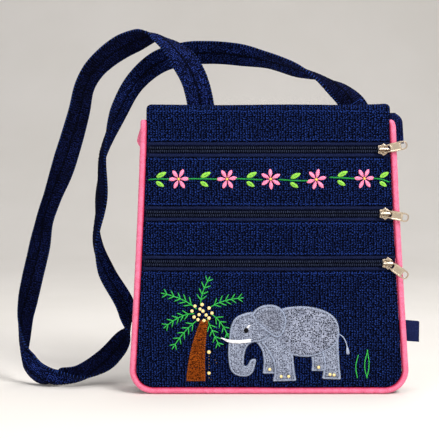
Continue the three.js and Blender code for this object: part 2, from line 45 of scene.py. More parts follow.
# Sizes of the bag in millimetres, as in the part's source
GAP = 0.3
CLOTH = 2.0
BAG_HEIGHT = 237.5
TOP_HALF_WIDTH = 98.7
BASE_HALF_WIDTH = 110.4
SIDE_FLARE = 1.35
TOP_LEAN = 1.0
TOP_HALF_DEPTH = 6.0
BASE_HALF_DEPTH = 17.0
PUFF = 3.0
CORNER_RADIUS = 14.0
TOP_CORNER_RADIUS = 4.0
TOP_FOLD_RISE = 5.0
BACK_LIP = 5.0
PIPING_RADIUS = 2.7
PIPING_SET = 2.0
PIPING_TOP = 225.0
PIPING_TUCK = 1.7
PIPING_TUCK_FROM = 218.0
PIPING_SWAY = 3.4
PIPING_SWAY_HEIGHT = 207.4
PIPING_SWAY_SPAN = 9.5
PIPING_SWAY_DROP = 4.2
GUSSET_TOP = 229.0
GUSSET_SIDE_SAG = 1.0
ZIP_HALF_OPENING = 6.5
ZIPS = {
    "zip_top": {"height": 200.6, "slider": 93.2, "tilt": 12},
    "zip_middle": {"height": 148.3, "slider": 94.4, "tilt": -11},
    "zip_lower": {"height": 107.8, "slider": 96.8, "tilt": -35},
}
TAPE_THICKNESS = 0.8
# Distance from the middle of a zip, and depth of its tape behind the face of the cloth
TAPE_PROFILE = [
    (0.25, 2.9), (1.6, 2.9), (2.7, 2.7), (3.05, 2.1), (3.3, 1.35), (3.7, 0.8), (4.3, 0.5), (4.9, 0.42),
    (5.5, 0.55), (5.95, 0.95), (6.25, 1.6), (6.5, 2.3), (7.2, 2.5), (9, 2.5), (11.5, 2.5), (14, 2.5),
]
COIL_PROUD = 0.2
COIL_PITCH = 1.75
COIL_RADIUS = 0.44
SLIDER_BACK = -0.4
PLATE_HEIGHT = 1.3
POCKET_DEPTH = 0.8
BRIDGE_RADIUS = 1.05
PULL_AXIS = -2.65
TOPSTITCH_INSET = 1.5
YOKE_LINE = 232.0
SIDE_TAB = dict(low=205.5, high=230.8, reach=109.6, thickness=2.6, slit=0.5, corner=8.5, flare=0.07)
LABEL = dict(low=43.4, high=60.8, reach=124.0, thickness=1.7, slit=0.3, corner=0.8, flare=0.0)
STRAP_WIDTH = 22.0
STRAP_THICKNESS = 2.0
STRAP_STEP = 1.25
# Strap cross-sections: middle x y z, direction across x y z, cup in degrees
STRAP_ROWS = [
    (-54, 10.3, 210, 1, 0, 0, 0), (-56.5, 8.2, 238, 1, 0, 0, 0),
    (-61.5, 11, 258, .94, 0, .34, 0), (-68.5, 15, 271.5, .85, .1, .5, 0),
    (-80.5, 22.6, 286.8, .65, .69, .31, 2), (-87.6, 26.5, 293, .54, .83, .17, 6),
    (-92.8, 29, 297.2, .48, .87, .04, 13), (-98.4, 31, 298.4, .42, .87, -.2, 11),
    (-105.3, 33.5, 296.3, .46, .72, -.5, 2), (-113.4, 35.5, 293, .48, .56, -.66, 0),
    (-124, 38, 288.6, .45, .5, -.74, 0), (-137.5, 40, 279.6, .5, .58, -.6, 0),
    (-149, 41, 268.5, .6, .68, -.4, 0), (-157, 42, 254.5, .6, .72, -.25, 0),
    (-162, 42, 232.5, .7, .65, -.2, 0), (-173.5, 40, 195.5, .8, .5, -.3, 10),
    (-186, 38, 161, .88, .3, -.3, 44), (-193.2, 36.5, 139.5, .87, .3, -.28, 47),
    (-196, 35.5, 118, .96, .15, -.2, 36), (-202.5, 33, 92, .95, .25, -.17, 36),
    (-207.2, 31.5, 75, .9, .42, -.15, 36), (-212, 29, 58, .6, .8, -.1, 35),
    (-212.3, 26.5, 41, .2, .97, 0, 32), (-211.2, 24, 31, -.1, .98, 0, 30),
    (-208, 21, 19.5, -.53, .5, -.68, 30), (-199.5, 16.5, 10.4, -.4, .42, -.82, 27),
    (-187.5, 10.5, 4.8, -.12, .6, -.74, 32), (-180.5, 11, 2.4, -.08, .8, -.42, 50),
    (-173, 12.5, 2.3, -.05, .92, .2, 70), (-163, 15, 3.4, -.1, .82, .5, 62),
    (-153.5, 19.5, 7, -.1, .78, .64, 44), (-137, 28.5, 20, -.44, .6, .66, 14),
    (-126.5, 32, 32, -.5, .65, .55, 10), (-119, 33, 43, -.15, .9, .4, 14),
    (-121, 33, 63.5, .55, .78, .3, 0), (-140, 34, 95, .5, .84, .22, -12),
    (-149, 34, 119.5, .12, 1, 0, -26), (-144.5, 36, 160, -.53, .85, 0, -12),
    (-143.3, 38, 198, -.05, 1, 0, -27), (-128.5, 42, 233, .52, .8, -.3, -5),
    (-114, 44, 258, .5, .7, -.5, 0), (-94, 45, 275.5, .38, .55, -.74, 0),
    (-71.5, 43, 282.5, .16, .52, -.84, 0), (-49, 39, 283.5, 0, .58, -.82, 0),
    (-23.5, 33, 281, .01, .62, -.78, 0), (0, 27.5, 276, .07, .84, -.53, 0),
    (21.5, 22, 269.5, .1, .86, -.48, -8), (43.5, 16, 262.5, .35, .94, 0, -20),
    (59.5, 11.5, 252, .64, .58, .5, -22), (71, 9.2, 238, .8, .2, .56, -10),
    (81, 9.9, 217.5, .87, 0, .5, 0),
]

# Fineness of the grids over cloth that shows, and over the hidden back
FINE_STEP = 0.95
BACK_STEP = 2.2
EDGE_TURN = 0.88
EDGE_ROLL = 1.3
FLOOR_CLEARANCE = 0.02
THREAD_UV_SHIFT = 7.3
PANEL_BOTTOM = 2 * PIPING_RADIUS + GAP
CORNER_Z = PANEL_BOTTOM + CORNER_RADIUS
FOLD_START = BAG_HEIGHT - TOP_FOLD_RISE
FRONT = np.array([0.0, -1.0, 0.0])


# Shape of the bag


def side_seam(z):
    fall = np.clip(1 - z / BAG_HEIGHT, 0, None)
    return TOP_HALF_WIDTH + (BASE_HALF_WIDTH - TOP_HALF_WIDTH) * fall**SIDE_FLARE


def side_tilt(z):
    return np.arctan((side_seam(z - 1) - side_seam(z + 1)) / 2)


CORNER_TILT = float(side_tilt(CORNER_Z))
CORNER_X = float(side_seam(CORNER_Z)) - CORNER_RADIUS / math.cos(CORNER_TILT)
SIDE_START = CORNER_Z + CORNER_RADIUS * math.sin(CORNER_TILT)


def half_width(z):
    corner = CORNER_X + np.sqrt(np.clip(CORNER_RADIUS**2 - (CORNER_Z - z) ** 2, 0, None))
    return np.where(z >= SIDE_START, side_seam(z), corner)


def seam_depth(z):
    rise = clamp(z / BAG_HEIGHT)
    return TOP_HALF_DEPTH + (BASE_HALF_DEPTH - TOP_HALF_DEPTH) * np.cos(rise * math.pi / 2)


def face_depth(x, z):
    rise = clamp(z / BAG_HEIGHT)
    across = np.clip(x / half_width(z), -1, 1)
    return seam_depth(z) + PUFF * (1 - across**2) * np.sin(rise * math.pi)


def lean(z):
    return -TOP_LEAN * z / BAG_HEIGHT


def relief(x, z):
    """Small ripples of the cloth: soft waves, woven ribs and puckers along the zips."""
    off_seam = clamp((half_width(z) - np.abs(x)) / 9)
    waves = 0.30 * np.sin(x / 31 + z / 47 + 0.6) * np.sin(z / 29 - x / 83 + 1.1)
    waves += 0.16 * np.sin(x / 13.7 + z / 21.3)
    ribs = 0.07 * np.sin(2 * math.pi * x / 3.1 + 1.3 * np.sin(z / 9.7) + 0.8 * np.sin(x / 17))
    pucker = 0
    for number, row in enumerate(ZIPS.values()):
        for side in (-1, 1):
            far = np.abs(z - row["height"] - side * ZIP_HALF_OPENING)
            turn = x / (1.7 + 0.2 * side) + 2.1 * number + np.sin(x / 9 + number)
            pucker = pucker + 0.16 * np.exp(-far / 4) * np.sin(turn)
    return (waves + pucker) * off_seam + ribs


def on_front(x, z, out=0.0):
    """Points on the front cloth, or so far out from it."""
    x, z = np.broadcast_arrays(x, z)
    return join(x + lean(z), -(face_depth(x, z) + relief(x, z) + out), z)


# Paths and outlines


def unit(vectors):
    return vectors / np.maximum(np.linalg.norm(vectors, axis=-1, keepdims=True), 1e-9)


def clamp(value):
    return np.clip(value, 0, 1)


def ease(value):
    """A clamped value with soft ends."""
    value = clamp(value)
    return value * value * (3 - 2 * value)


def circle(count):
    """Angles at even steps round a circle."""
    return 2 * math.pi * np.arange(count) / count


def bell(value, width):
    return np.exp(-((value / width) ** 2))


def join(*columns):
    """Points from their coordinates, spread to a common shape."""
    return np.stack(np.broadcast_arrays(*columns), -1)


def left_of(tangent):
    return join(-tangent[:, 1], tangent[:, 0])


def lengths(path):
    """Distance along a path at each of its points."""
    steps = np.diff(path, axis=-2, prepend=path[..., :1, :])
    return np.cumsum(np.linalg.norm(steps, axis=-1), -1)


def keep_above(points, floor):
    points[..., 2] = np.maximum(points[..., 2], floor)


def even_steps(path, count, columns=None):
    """Rows at even steps of the length that their first columns measure."""
    far = lengths(path[:, :columns])
    at = np.linspace(0, far[-1], count)
    return np.stack([np.interp(at, far, column) for column in path.T], -1)


def spans(points):
    """Each stretch of a path, with the points before and after it."""
    p = np.asarray(points, float)
    p = np.vstack([2 * p[0] - p[1], p, 2 * p[-1] - p[-2]])
    return zip(p, p[1:], p[2:], p[3:])


def smooth_path(points, count):
    """A Catmull-Rom curve through points, at even steps of its length."""
    t = np.linspace(0, 1, 24, endpoint=False)[:, None]
    runs = [
        0.5 * (2 * b + (c - a) * t + (2 * a - 5 * b + 4 * c - d) * t**2 + (3 * b - a - 3 * c + d) * t**3)
        for a, b, c, d in spans(points)
    ]
    return even_steps(np.vstack(runs + [np.array(points[-1:], float)]), count)


def rounded(corners, steps=5):
    """A closed outline from corners (x, z, radius)."""
    p = np.array([corner[:2] for corner in corners], float)
    outline = []
    for i, (_, _, radius) in enumerate(corners):
        ways = p[i - 1] - p[i], p[(i + 1) % len(p)] - p[i]
        a, b = (p[i] + unit(way) * min(radius, 0.49 * np.linalg.norm(way)) for way in ways)
        for t in np.linspace(0, 1, steps):
            outline.append((1 - t) ** 2 * a + 2 * t * (1 - t) * p[i] + t**2 * b)
    return np.array(outline)


def closed_steps(outline, pitch):
    path = np.vstack([outline, outline[:1]])
    return even_steps(path, max(8, int(lengths(path)[-1] / pitch)) + 1)[:-1]


def inward(loop):
    """Tangents of a closed outline, and normals that point into it."""
    after = np.roll(loop, -1, axis=0)
    tangent = unit(after - np.roll(loop, 1, axis=0))
    area = np.sum(loop[:, 0] * after[:, 1] - after[:, 0] * loop[:, 1])
    return tangent, left_of(tangent) * np.sign(area)


def sides_of(loops):
    for loop in loops:
        yield from zip(loop, np.roll(loop, -1, axis=0))


def inside(points, loops):
    odd = np.zeros(len(points), bool)
    for a, b in sides_of(loops):
        crosses = (a[1] > points[:, 1]) != (b[1] > points[:, 1])
        with np.errstate(divide="ignore", invalid="ignore"):
            at = (b[0] - a[0]) * (points[:, 1] - a[1]) / (b[1] - a[1]) + a[0]
        odd ^= crosses & (points[:, 0] < at)
    return odd


def border_distance(points, loops):
    nearest = np.full(len(points), 1e9)
    for a, b in sides_of(loops):
        run = b - a
        t = clamp(((points - a) @ run) / max(run @ run, 1e-12))
        nearest = np.minimum(nearest, np.linalg.norm(points - a - t[:, None] * run, axis=1))
    return nearest


def roll_edge(distance, reach):
    return np.sqrt(1 - (1 - clamp(distance / reach)) ** 2)


# Meshes


class Pile:
    """Closed meshes gathered into one object, with UVs in millimetres."""

    def __init__(self):
        self.points, self.faces, self.uvs, self.paints = [], [], [], []
        self.count = 0

    def add(self, points, groups, uv, paint=0):
        """groups are index arrays, and uv is per point or a list of per-corner arrays like groups."""
        middle = points.mean(0)
        volume = 0.0
        for group in groups:
            corner = points[group] - middle
            for k in range(1, group.shape[1] - 1):
                volume += np.sum(corner[:, 0] * np.cross(corner[:, k], corner[:, k + 1]))
        for number, (group, colour) in enumerate(zip(groups, np.broadcast_to(paint, len(groups)))):
            corners = uv[number] if isinstance(uv, list) else uv[group]
            if volume < 0:
                group, corners = group[:, ::-1], corners[:, ::-1]
            self.faces.append(group + self.count)
            self.uvs.append(corners.reshape(-1, 2))
            self.paints.append(np.full(len(group), colour))
        self.points.append(points)
        self.count += len(points)

    def build(self, name, *materials, slot="navy_cloth", body="bag", replaces=None, crease=None):
        mesh = bpy.data.meshes.new(name)
        faces = [face for group in self.faces for face in group.tolist()]
        mesh.from_pydata((np.concatenate(self.points) * MM).tolist(), [], faces)
        mesh.uv_layers.new(name=UV_MAP).data.foreach_set("uv", np.concatenate(self.uvs).ravel())
        mesh.polygons.foreach_set("material_index", np.concatenate(self.paints))
        mesh.polygons.foreach_set("use_smooth", np.ones(len(faces), bool))
        for material in materials:
            mesh.materials.append(material)
        mesh.update()
        if crease:
            mesh.set_sharp_from_angle(angle=math.radians(crease))
        obj = bpy.data.objects.new(name, mesh)
        bpy.context.scene.collection.objects.link(obj)
        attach(obj, body)
        if replaces:
            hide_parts(replaces)
        return obj


def quads(grid):
    """The four corners of each cell of a grid (..., rows, columns)."""
    cells = grid[..., :-1, :-1], grid[..., :-1, 1:], grid[..., 1:, 1:], grid[..., 1:, :-1]
    return np.stack(cells, -1).reshape(-1, 4)


def shell(pile, outer, inner, uv, paint=0):
    """A closed sheet between two grids of points."""
    rows, cols = outer.shape[:2]
    count = rows * cols
    grid = np.arange(count).reshape(rows, cols)
    loop = np.concatenate([grid[0, :-1], grid[:-1, -1], grid[-1, :0:-1], grid[:0:-1, 0]])
    onward = np.roll(loop, -1)
    rim = join(onward, loop, loop + count, onward + count)
    points = np.concatenate([outer.reshape(-1, 3), inner.reshape(-1, 3)])
    groups = [np.concatenate([quads(grid), rim]), quads(grid + count)[:, ::-1]]
    pile.add(points, groups, np.tile(uv.reshape(-1, 2), (2, 1)), paint)


def cloth_piece(node, cloth, outer, inner, uv, ending="_cloth", **how):
    pile = Pile()
    shell(pile, outer, inner, uv)
    return pile.build(node + ending, cloth, replaces=node, **how)


def tube_faces(*shape):
    """Walls and end caps of closed tubes, whose points are numbered by tube, step and side."""
    grid = np.arange(math.prod(shape)).reshape(shape)
    walls = quads(np.concatenate([grid, grid[..., :1]], -1))
    return [walls, np.concatenate([grid[:, 0, ::-1], grid[:, -1]])]


def sweep(pile, rings, far, radius, paint=0):
    """Closed tubes from rings of points (number, steps, sides, 3), with far along them as their UVs."""
    sides = rings.shape[2]
    around = 2 * math.pi * radius / sides * np.arange(sides + 1)
    wall_uv = [quads(grid) for grid in np.broadcast_arrays(far[..., None], around)]
    cap_uv = np.zeros((2 * len(rings), sides, 2))
    cap_uv[..., 0] = np.r_[far[:, 0], far[:, -1]][:, None]
    faces = tube_faces(*rings.shape[:3])
    pile.add(rings.reshape(-1, 3), faces, [np.stack(wall_uv, -1), cap_uv], paint)


def tubes(pile, paths, radii, up, sides=6, paint=0, flat=1.0):
    """Round threads along paths (number, steps, 3); flat is their height over their width."""
    radii = np.broadcast_to(radii, paths.shape[:2])
    tangent = unit(np.gradient(paths, axis=1))
    side = unit(np.cross(tangent, np.broadcast_to(up, paths.shape)))
    lift = np.cross(side, tangent)
    angle = circle(sides)[:, None]
    turn = np.cos(angle) * side[:, :, None] + flat * np.sin(angle) * lift[:, :, None]
    far = lengths(paths) + THREAD_UV_SHIFT * np.arange(len(paths))[:, None]
    sweep(pile, paths[:, :, None] + radii[:, :, None, None] * turn, far, float(radii.mean()), paint)


def stitches(pile, starts, ends, radius, bow, base, paint=0):
    """Single stitches on the front cloth, each dipping into it at both ends."""
    starts, ends = np.atleast_2d(starts).astype(float), np.atleast_2d(ends).astype(float)
    t = np.linspace(0, 1, 6)
    place = starts[:, None] + (ends - starts)[:, None] * t[:, None]
    arch = np.sin(math.pi * t)
    paths = on_front(place[..., 0], place[..., 1], base + bow * arch**0.7)
    tubes(pile, paths, radius * (0.4 + 0.6 * arch**0.5), FRONT, sides=5, paint=paint, flat=0.8)


def dashes(pile, course, share, radius, bow, base):
    """Running stitches along a course, each filling a share of its step."""
    stitches(pile, course[:-1], course[:-1] + share * np.diff(course, axis=0), radius, bow, base)


def rope(pile, course, pitch, radius, length, slant):
    """Stem stitch: short slanted stitches that overlap along a line."""
    line = even_steps(course, max(3, int(lengths(course)[-1] / pitch) + 1))
    tangent = unit(np.gradient(line, axis=0))
    reach = tangent * length / 2
    skew = left_of(tangent) * slant
    stitches(pile, line - reach - skew, line + reach + skew, radius, bow=0.45, base=-0.05)


def bead(pile, x, z, size, lift, hollow, paint=0):
    """A round knot or bead on the front cloth, hollow at its middle."""
    rows, cols = 9, 14
    polar = np.linspace(0.12, math.pi - 0.12, rows)[:, None]
    turn = circle(cols)
    along = size * np.sin(polar) * np.cos(turn)
    above = size * np.sin(polar) * np.sin(turn)
    out = 0.8 * size * np.cos(polar) + 0 * turn
    dimple = hollow * size * np.exp(-((along**2 + above**2) / (0.30 * size) ** 2)) * (out > 0)
    points = on_front(x + along, z + above, lift + out - dimple)
    uv = join(x + along, z + above)
    pile.add(points.reshape(-1, 3), tube_faces(1, rows, cols), uv.reshape(-1, 2), paint)


def beads(pile, places, radius, paint=0):
    for x, z in places:
        size = radius * rng.uniform(0.92, 1.06)
        bead(pile, x, z, size, 0.45 * size, hollow=0.35, paint=paint)


def lobe(pile, base, tip, width, height, fullness, threads=5):
    """A satin-stitched petal or leaf, with the ridges of its threads."""
    base, tip = np.asarray(base, float), np.asarray(tip, float)
    length = np.linalg.norm(tip - base)
    way = (tip - base) / length
    s = ((1 - np.cos(np.linspace(0, 1, 17) * math.pi)) / 2)[:, None]
    c = np.sin(np.linspace(-1, 1, 15) * math.pi / 2)
    half = width / 2 * np.sin(math.pi * np.clip(s, 0.015, 0.985) ** fullness) ** 0.62
    x = base[0] + s * length * way[0] - c * half * way[1]
    z = base[1] + s * length * way[1] + c * half * way[0]
    crown = np.sqrt(clamp(1 - c**2)) * np.sin(math.pi * np.clip(s, 0.03, 0.97)) ** 0.5
    ridge = 0.07 * np.cos(2 * math.pi * (threads * (c + 1) / 2)) * crown
    uv = join(s * length, c * half) + rng.uniform(0, 40, 2)
    shell(pile, on_front(x, z, height * crown + ridge + 0.05), on_front(x, z, -0.5), uv)


def fill(outlines, spacing, inset):
    """Triangles over an outline with holes: points, triangles, distance from the border, rim edges."""
    loops = [closed_steps(outline, spacing) for outline in outlines]
    border = np.concatenate(loops)
    low, high = border.min(0), border.max(0)
    xs = np.arange(low[0], high[0] + spacing, spacing)
    zs = np.arange(low[1], high[1] + spacing, spacing * 0.866)
    grid = np.stack(np.meshgrid(xs, zs), -1)
    grid[1::2, :, 0] += spacing / 2
    grid = grid.reshape(-1, 2) + rng.uniform(-0.08, 0.08, (grid.size // 2, 2)) * spacing
    rings, edges, start = [], [], 0
    for loop in loops:
        normal = left_of(unit(np.roll(loop, -1, axis=0) - np.roll(loop, 1, axis=0)))
        for depth in inset:
            for side in (-1, 1):
                ring = loop + side * depth * normal
                near = border_distance(ring, loops)
                rings.append(ring[inside(ring, loops) & (near > depth * 0.92)])
        edges += [(start + i, start + (i + 1) % len(loop)) for i in range(len(loop))]
        start += len(loop)
    clear = border_distance(grid, loops) > max(inset) + 0.5 * spacing
    points = np.concatenate([border] + rings + [grid[inside(grid, loops) & clear]])
    found = delaunay_2d_cdt([Vector(p) for p in points.tolist()], edges, [], 0, 1e-5)
    points = np.array([tuple(v) for v in found[0]])
    triangles = np.array([f for f in found[2] if len(f) == 3])
    triangles = triangles[inside(points[triangles].mean(1), loops)]
    rim = {}
    for a, b, c in triangles.tolist():
        for edge in ((a, b), (b, c), (c, a)):
            if edge[::-1] in rim:
                del rim[edge[::-1]]
            else:
                rim[edge] = True
    used = np.unique(triangles)
    number = np.zeros(len(points), int)
    number[used] = np.arange(len(used))
    points = points[used]
    return points, number[triangles], border_distance(points, loops), number[np.array(list(rim))]


def slab(pile, filled, top, bottom):
    """A closed piece between two height fields over filled triangles; top and bottom are points."""
    points, triangles, _, rim = filled
    count = len(points)
    walls = join(rim[:, 1], rim[:, 0], rim[:, 0] + count, rim[:, 1] + count)
    caps = np.concatenate([triangles, triangles[:, ::-1] + count])
    pile.add(np.concatenate([top, bottom]), [caps, walls], np.tile(points, (2, 1)))


def plate(pile, filled, place, front, back):
    """A metal plate between two depths over filled triangles, set in its place."""
    x, z = filled[0].T
    slab(pile, filled, place(join(x, front, z)), place(join(x, back, z)))


def pad(pile, outline, height, base, reach, dome):
    """A felt shape sewn on the front cloth, with a rolled edge."""
    filled = fill([outline], spacing=0.85, inset=(0.25, 0.65))
    points, _, distance, _ = filled
    out = base + height * roll_edge(distance, reach) + dome * clamp(distance / 12) ** 0.7
    out = out + 0.04 * rng.standard_normal(len(points)) * (distance > 0.5)
    x, z = points.T
    slab(pile, filled, on_front(x, z, out), on_front(x, z, -0.5))


def edging(pile, outline, height, base, reach, pitch, slant, radius, skip=None):
    """Slanted stitches over the rolled edge of a pad."""
    depth, outside = 1.5, 0.15
    loop = closed_steps(outline, pitch)
    tangent, normal = inward(loop)
    if skip is not None:
        keep = ~skip(loop)
        loop, tangent, normal = loop[keep], tangent[keep], normal[keep]
    t = np.linspace(0, 1, 6)
    within = -outside + (depth + outside) * t
    place = loop[:, None] + within[:, None] * normal[:, None] + slant * t[:, None] * tangent[:, None]
    out = base + height * roll_edge(np.clip(within, 0, None), reach) - 0.05
    out = out + 0.6 * radius * np.sin(math.pi * t) - 0.25 * (t > 0.9) - 0.35 * (t < 0.1)
    radii = radius * (0.5 + 0.5 * np.sin(math.pi * t) ** 0.5)
    tubes(pile, on_front(place[..., 0], place[..., 1], out), radii, FRONT, flat=0.9)


# Materials


def lin(*colour):
    parts = [value / 255 for value in colour]
    return [p / 12.92 if p <= 0.04045 else ((p + 0.055) / 1.055) ** 2.4 for p in parts] + [1.0]


class Look:
    """A procedural material with one Principled shader, in millimetres on the UV map."""

    def __init__(self, name, specular=0.5, **settings):
        self.material = bpy.data.materials.new(name)
        self.material.use_nodes = True
        self.tree = self.material.node_tree
        self.tree.nodes.clear()
        self.shader = self.add("BsdfPrincipled", {"Specular IOR Level": specular, **settings})
        self.add("OutputMaterial", {0: self.shader.outputs[0]})

    def add(self, kind, values, **settings):
        node = self.tree.nodes.new("ShaderNode" + kind)
        for key, value in settings.items():
            setattr(node, key, value)
        for key, value in values.items():
            self.put(value, node.inputs[key])
        return node

    def put(self, value, socket):
        if isinstance(value, bpy.types.NodeSocket):
            self.tree.links.new(value, socket)
        else:
            socket.default_value = lin(*value) if socket.type == "RGBA" else value

    def uv(self, across, up, turn=0.0):
        """Places on the UV map, in steps of these sizes."""
        place = self.add("UVMap", {}, uv_map=UV_MAP).outputs[0]
        values = {"Vector": place, "Scale": (1 / across, 1 / up, 1), "Rotation": (0, 0, turn)}
        return self.add("Mapping", values).outputs[0]

    def height(self, size):
        return self.add("SeparateXYZ", {0: self.uv(size, size)}).outputs[1]

    def texture(self, vector, detail, dimensions, rough):
        values = {"Vector": vector, "Scale": 1.0, "Detail": detail, "Roughness": rough}
        return self.add("TexNoise", values, noise_dimensions=dimensions).outputs[0]

    def noise(self, across, up, detail, turn=0.0, rough=0.55):
        return self.texture(self.uv(across, up, turn), detail, "2D", rough)

    def cloud(self, scale, detail):
        place = self.add("TexCoord", {}).outputs["Object"]
        place = self.add("Mapping", {"Vector": place, "Scale": (scale,) * 3}).outputs[0]
        return self.texture(place, detail, "3D", 0.55)

    def cells(self, across, up, randomness):
        """Distance from the middle of each cell, and a chance of its own for each."""
        values = {"Vector": self.uv(across, up), "Scale": 1.0, "Randomness": randomness}
        node = self.add("TexVoronoi", values, voronoi_dimensions="2D")
        return node.outputs["Distance"], self.add("SeparateColor", {0: node.outputs["Color"]}).outputs[0]

    def wave(self, across, up, distortion, turn=0.0):
        values = {"Vector": self.uv(across, up, turn), "Scale": 0.31416, "Distortion": distortion}
        values.update({"Detail": 2.0, "Detail Scale": 1.5})
        return self.add("TexWave", values, wave_type="BANDS", bands_direction="X").outputs["Fac"]

    def math(self, operation, a, b=0.0):
        return self.add("Math", {0: a, 1: b}, operation=operation).outputs[0]

    def times(self, value, *others):
        for other in others:
            value = self.math("MULTIPLY", value, other)
        return value

    def blend(self, a, share_a, b, share_b):
        return self.math("ADD", self.times(a, share_a), self.times(b, share_b))

    def ramp(self, value, low, high, to_low=0.0, to_high=1.0):
        values = {"Value": value, "From Min": low, "From Max": high, "To Min": to_low, "To Max": to_high}
        return self.add("MapRange", values, interpolation_type="SMOOTHSTEP").outputs[0]

    def mix(self, factor, a, b):
        return self.add("Mix", {0: factor, 6: a, 7: b}, data_type="RGBA").outputs[2]

    def shade(self, value, low, high, a, b, most=1.0):
        return self.mix(self.ramp(value, low, high, 0.0, most), a, b)

    def bump(self, height, strength, distance):
        node = self.add("Bump", {"Height": height, "Strength": strength, "Distance": distance * MM})
        self.put(node.outputs[0], self.shader.inputs["Normal"])

    def paint(self, colour, value, rough, low=0.3, high=0.7):
        """The finished material, whose roughness follows a value."""
        self.put(colour, self.shader.inputs["Base Color"])
        self.put(self.ramp(value, low, high, *rough), self.shader.inputs["Roughness"])
        return self.material

    def mottle(self, tone, dark, bright, rough):
        return self.paint(self.shade(tone, 0.3, 0.7, dark, bright), tone, rough)


def slub_cloth(name, dark, middle, bright):
    """Coarse navy cloth whose thick slubs catch the light in uneven columns."""
    look = Look(name, 0.03)
    near, chance = look.cells(2.1, 1.35, 0.55)
    dot = look.ramp(near, 0.4, 0.12)
    picked = look.ramp(chance, 0.15, 1.0, 0.3, 0.72)
    column = look.ramp(look.noise(1.9, 45, 1.0), 0.30, 0.64, 0.68, 1.0)
    patch = look.ramp(look.noise(19, 8, 3.0), 0.3, 0.7, 0.84, 1.0)
    shine = look.times(dot, picked, column, patch)
    weave = look.noise(0.95, 0.85, 1.0)
    ground = look.shade(weave, 0.42, 0.62, dark, middle)
    look.bump(look.blend(dot, 0.7, weave, 0.5), 0.8, 0.6)
    return look.paint(look.mix(shine, ground, bright), shine, (0.95, 0.75), 0, 1)


def web_cloth(name, dark, middle, bright, rib=2.0, fleck=1.5, hem=None):
    """Ribbed strap cloth: cross ribs broken into small raised stitches, darker along its seam and hems."""
    look = Look(name, 0.03)
    ribs = look.wave(rib, 60, 0.7)
    near, chance = look.cells(fleck, 0.8 * fleck, 0.75)
    dot = look.ramp(near, 0.55, 0.08)
    chance = look.ramp(chance, 0.1, 1.0, 0.15, 1.0)
    fuzz = look.noise(1.1, 0.8, 3.0)
    patch = look.ramp(look.noise(23, 9, 2.0), 0.3, 0.7, 0.5, 1.0)
    ground = look.shade(look.blend(ribs, 0.5, fuzz, 0.5), 0.35, 0.65, dark, middle)
    colour = look.mix(look.times(dot, chance, patch), ground, bright)
    if hem:
        across = look.math("ABSOLUTE", look.height(1))
        colour = look.shade(across, 1.3, 0.5, colour, dark, 0.9)
        colour = look.shade(across, hem - 0.5, hem + 0.5, colour, dark, 0.8)
    look.bump(look.blend(dot, 0.6, ribs, 0.6), 0.8, 0.5)
    return look.paint(colour, fuzz, (0.95, 0.8))


def piping_cloth(name, dark, middle, bright, crease):
    """Pink bias-cut cotton over a cord, with painted shade where it turns into the seam."""
    look = Look(name, 0.12)
    fuzz = look.noise(1.1, 1.1, 3.0)
    both = look.blend(look.wave(0.75, 0.75, 0.7, 0.8), 0.5, fuzz, 0.6)
    ground = look.shade(look.noise(6, 8, 2.0, 0.5), 0.3, 0.7, dark, middle)
    colour = look.shade(both, 0.35, 0.9, ground, bright)
    # Painted shade: the crease colour darkens the side of the cord that turns into the seam
    around = look.height(math.pi * PIPING_RADIUS)
    seam = look.math("ABSOLUTE", look.math("SUBTRACT", around, 1.0))
    look.bump(both, 0.5, 0.35)
    return look.paint(look.shade(seam, 0.44, 0.14, colour, crease), fuzz, (0.85, 0.65))


def twisted_thread(name, dark, middle, bright, shine=0.22, pitch=0.7):
    """Cotton thread with a diagonal twist."""
    look = Look(name + "_thread", shine)
    twist = look.wave(pitch, 0.9 * pitch, 0.5, 0.6)
    tint = look.noise(3.1, 1.7, 2.0)
    ground = look.shade(tint, 0.3, 0.7, dark, middle)
    look.bump(twist, 0.5, 0.2)
    return look.paint(look.shade(twist, 0.35, 1.0, ground, bright), tint, (0.62, 0.42))


def felt(name, dark, middle, bright, speck, amount=1.0):
    """Dense stitched felt with needle holes that show the dark ground."""
    look = Look(name, 0.05)
    near, chance = look.cells(1.45, 1.35, 0.8)
    hole = look.times(look.ramp(near, 0.42, 0.26), look.ramp(chance, 0.36, 0.52))
    fibre = look.noise(0.9, 1.1, 4.0, rough=0.65)
    tone = look.blend(fibre, 0.65, look.noise(7, 7, 2.0), 0.35)
    ground = look.shade(tone, 0.38, 0.62, dark, middle)
    ground = look.shade(fibre, 0.53, 0.73, ground, bright)
    look.bump(look.math("SUBTRACT", fibre, hole), 0.8, 0.5)
    return look.paint(look.mix(look.times(hole, amount), ground, speck), fibre, (0.95, 0.8))


def nylon(name, dark, bright):
    look = Look(name, 0.06)
    drawn = look.noise(2.5, 0.5, 2.0)
    look.bump(drawn, 0.25, 0.1)
    return look.mottle(drawn, dark, bright, (0.5, 0.36))


def glazed(name, dark, bright):
    look = Look(name, **{"Coat Weight": 0.25, "Coat Roughness": 0.2})
    cloud = look.noise(0.9, 0.9, 3.0)
    look.bump(cloud, 0.2, 0.15)
    return look.mottle(cloud, dark, bright, (0.45, 0.28))


def cast_metal(name, dark, bright):
    look = Look(name, Metallic=1.0)
    brushed = look.noise(9, 0.9, 2.0)
    look.bump(brushed, 0.06, 0.05)
    return look.mottle(look.blend(look.cloud(260, 2.0), 0.6, brushed, 0.4), dark, bright, (0.5, 0.36))


def shaded_bridge(name, dark, bright, girth):
    """The bridge of a slider: a painted highlight on its upper side and painted shade underneath."""
    look = Look(name, Metallic=0.9)
    around = look.height(girth)
    # Painted shade under the bridge, set by the place round the tube, with a little random tone
    under = look.times(look.ramp(around, 0.5, 0.62), look.ramp(around, 1.0, 0.88))
    cloud = look.cloud(400, 2.0)
    painted_shade = look.ramp(look.math("ADD", under, look.times(cloud, 0.15)), 0.1, 1.0)
    look.bump(cloud, 0.05, 0.05)
    return look.paint(look.mix(painted_shade, bright, dark), painted_shade, (0.3, 0.6), 0, 1)


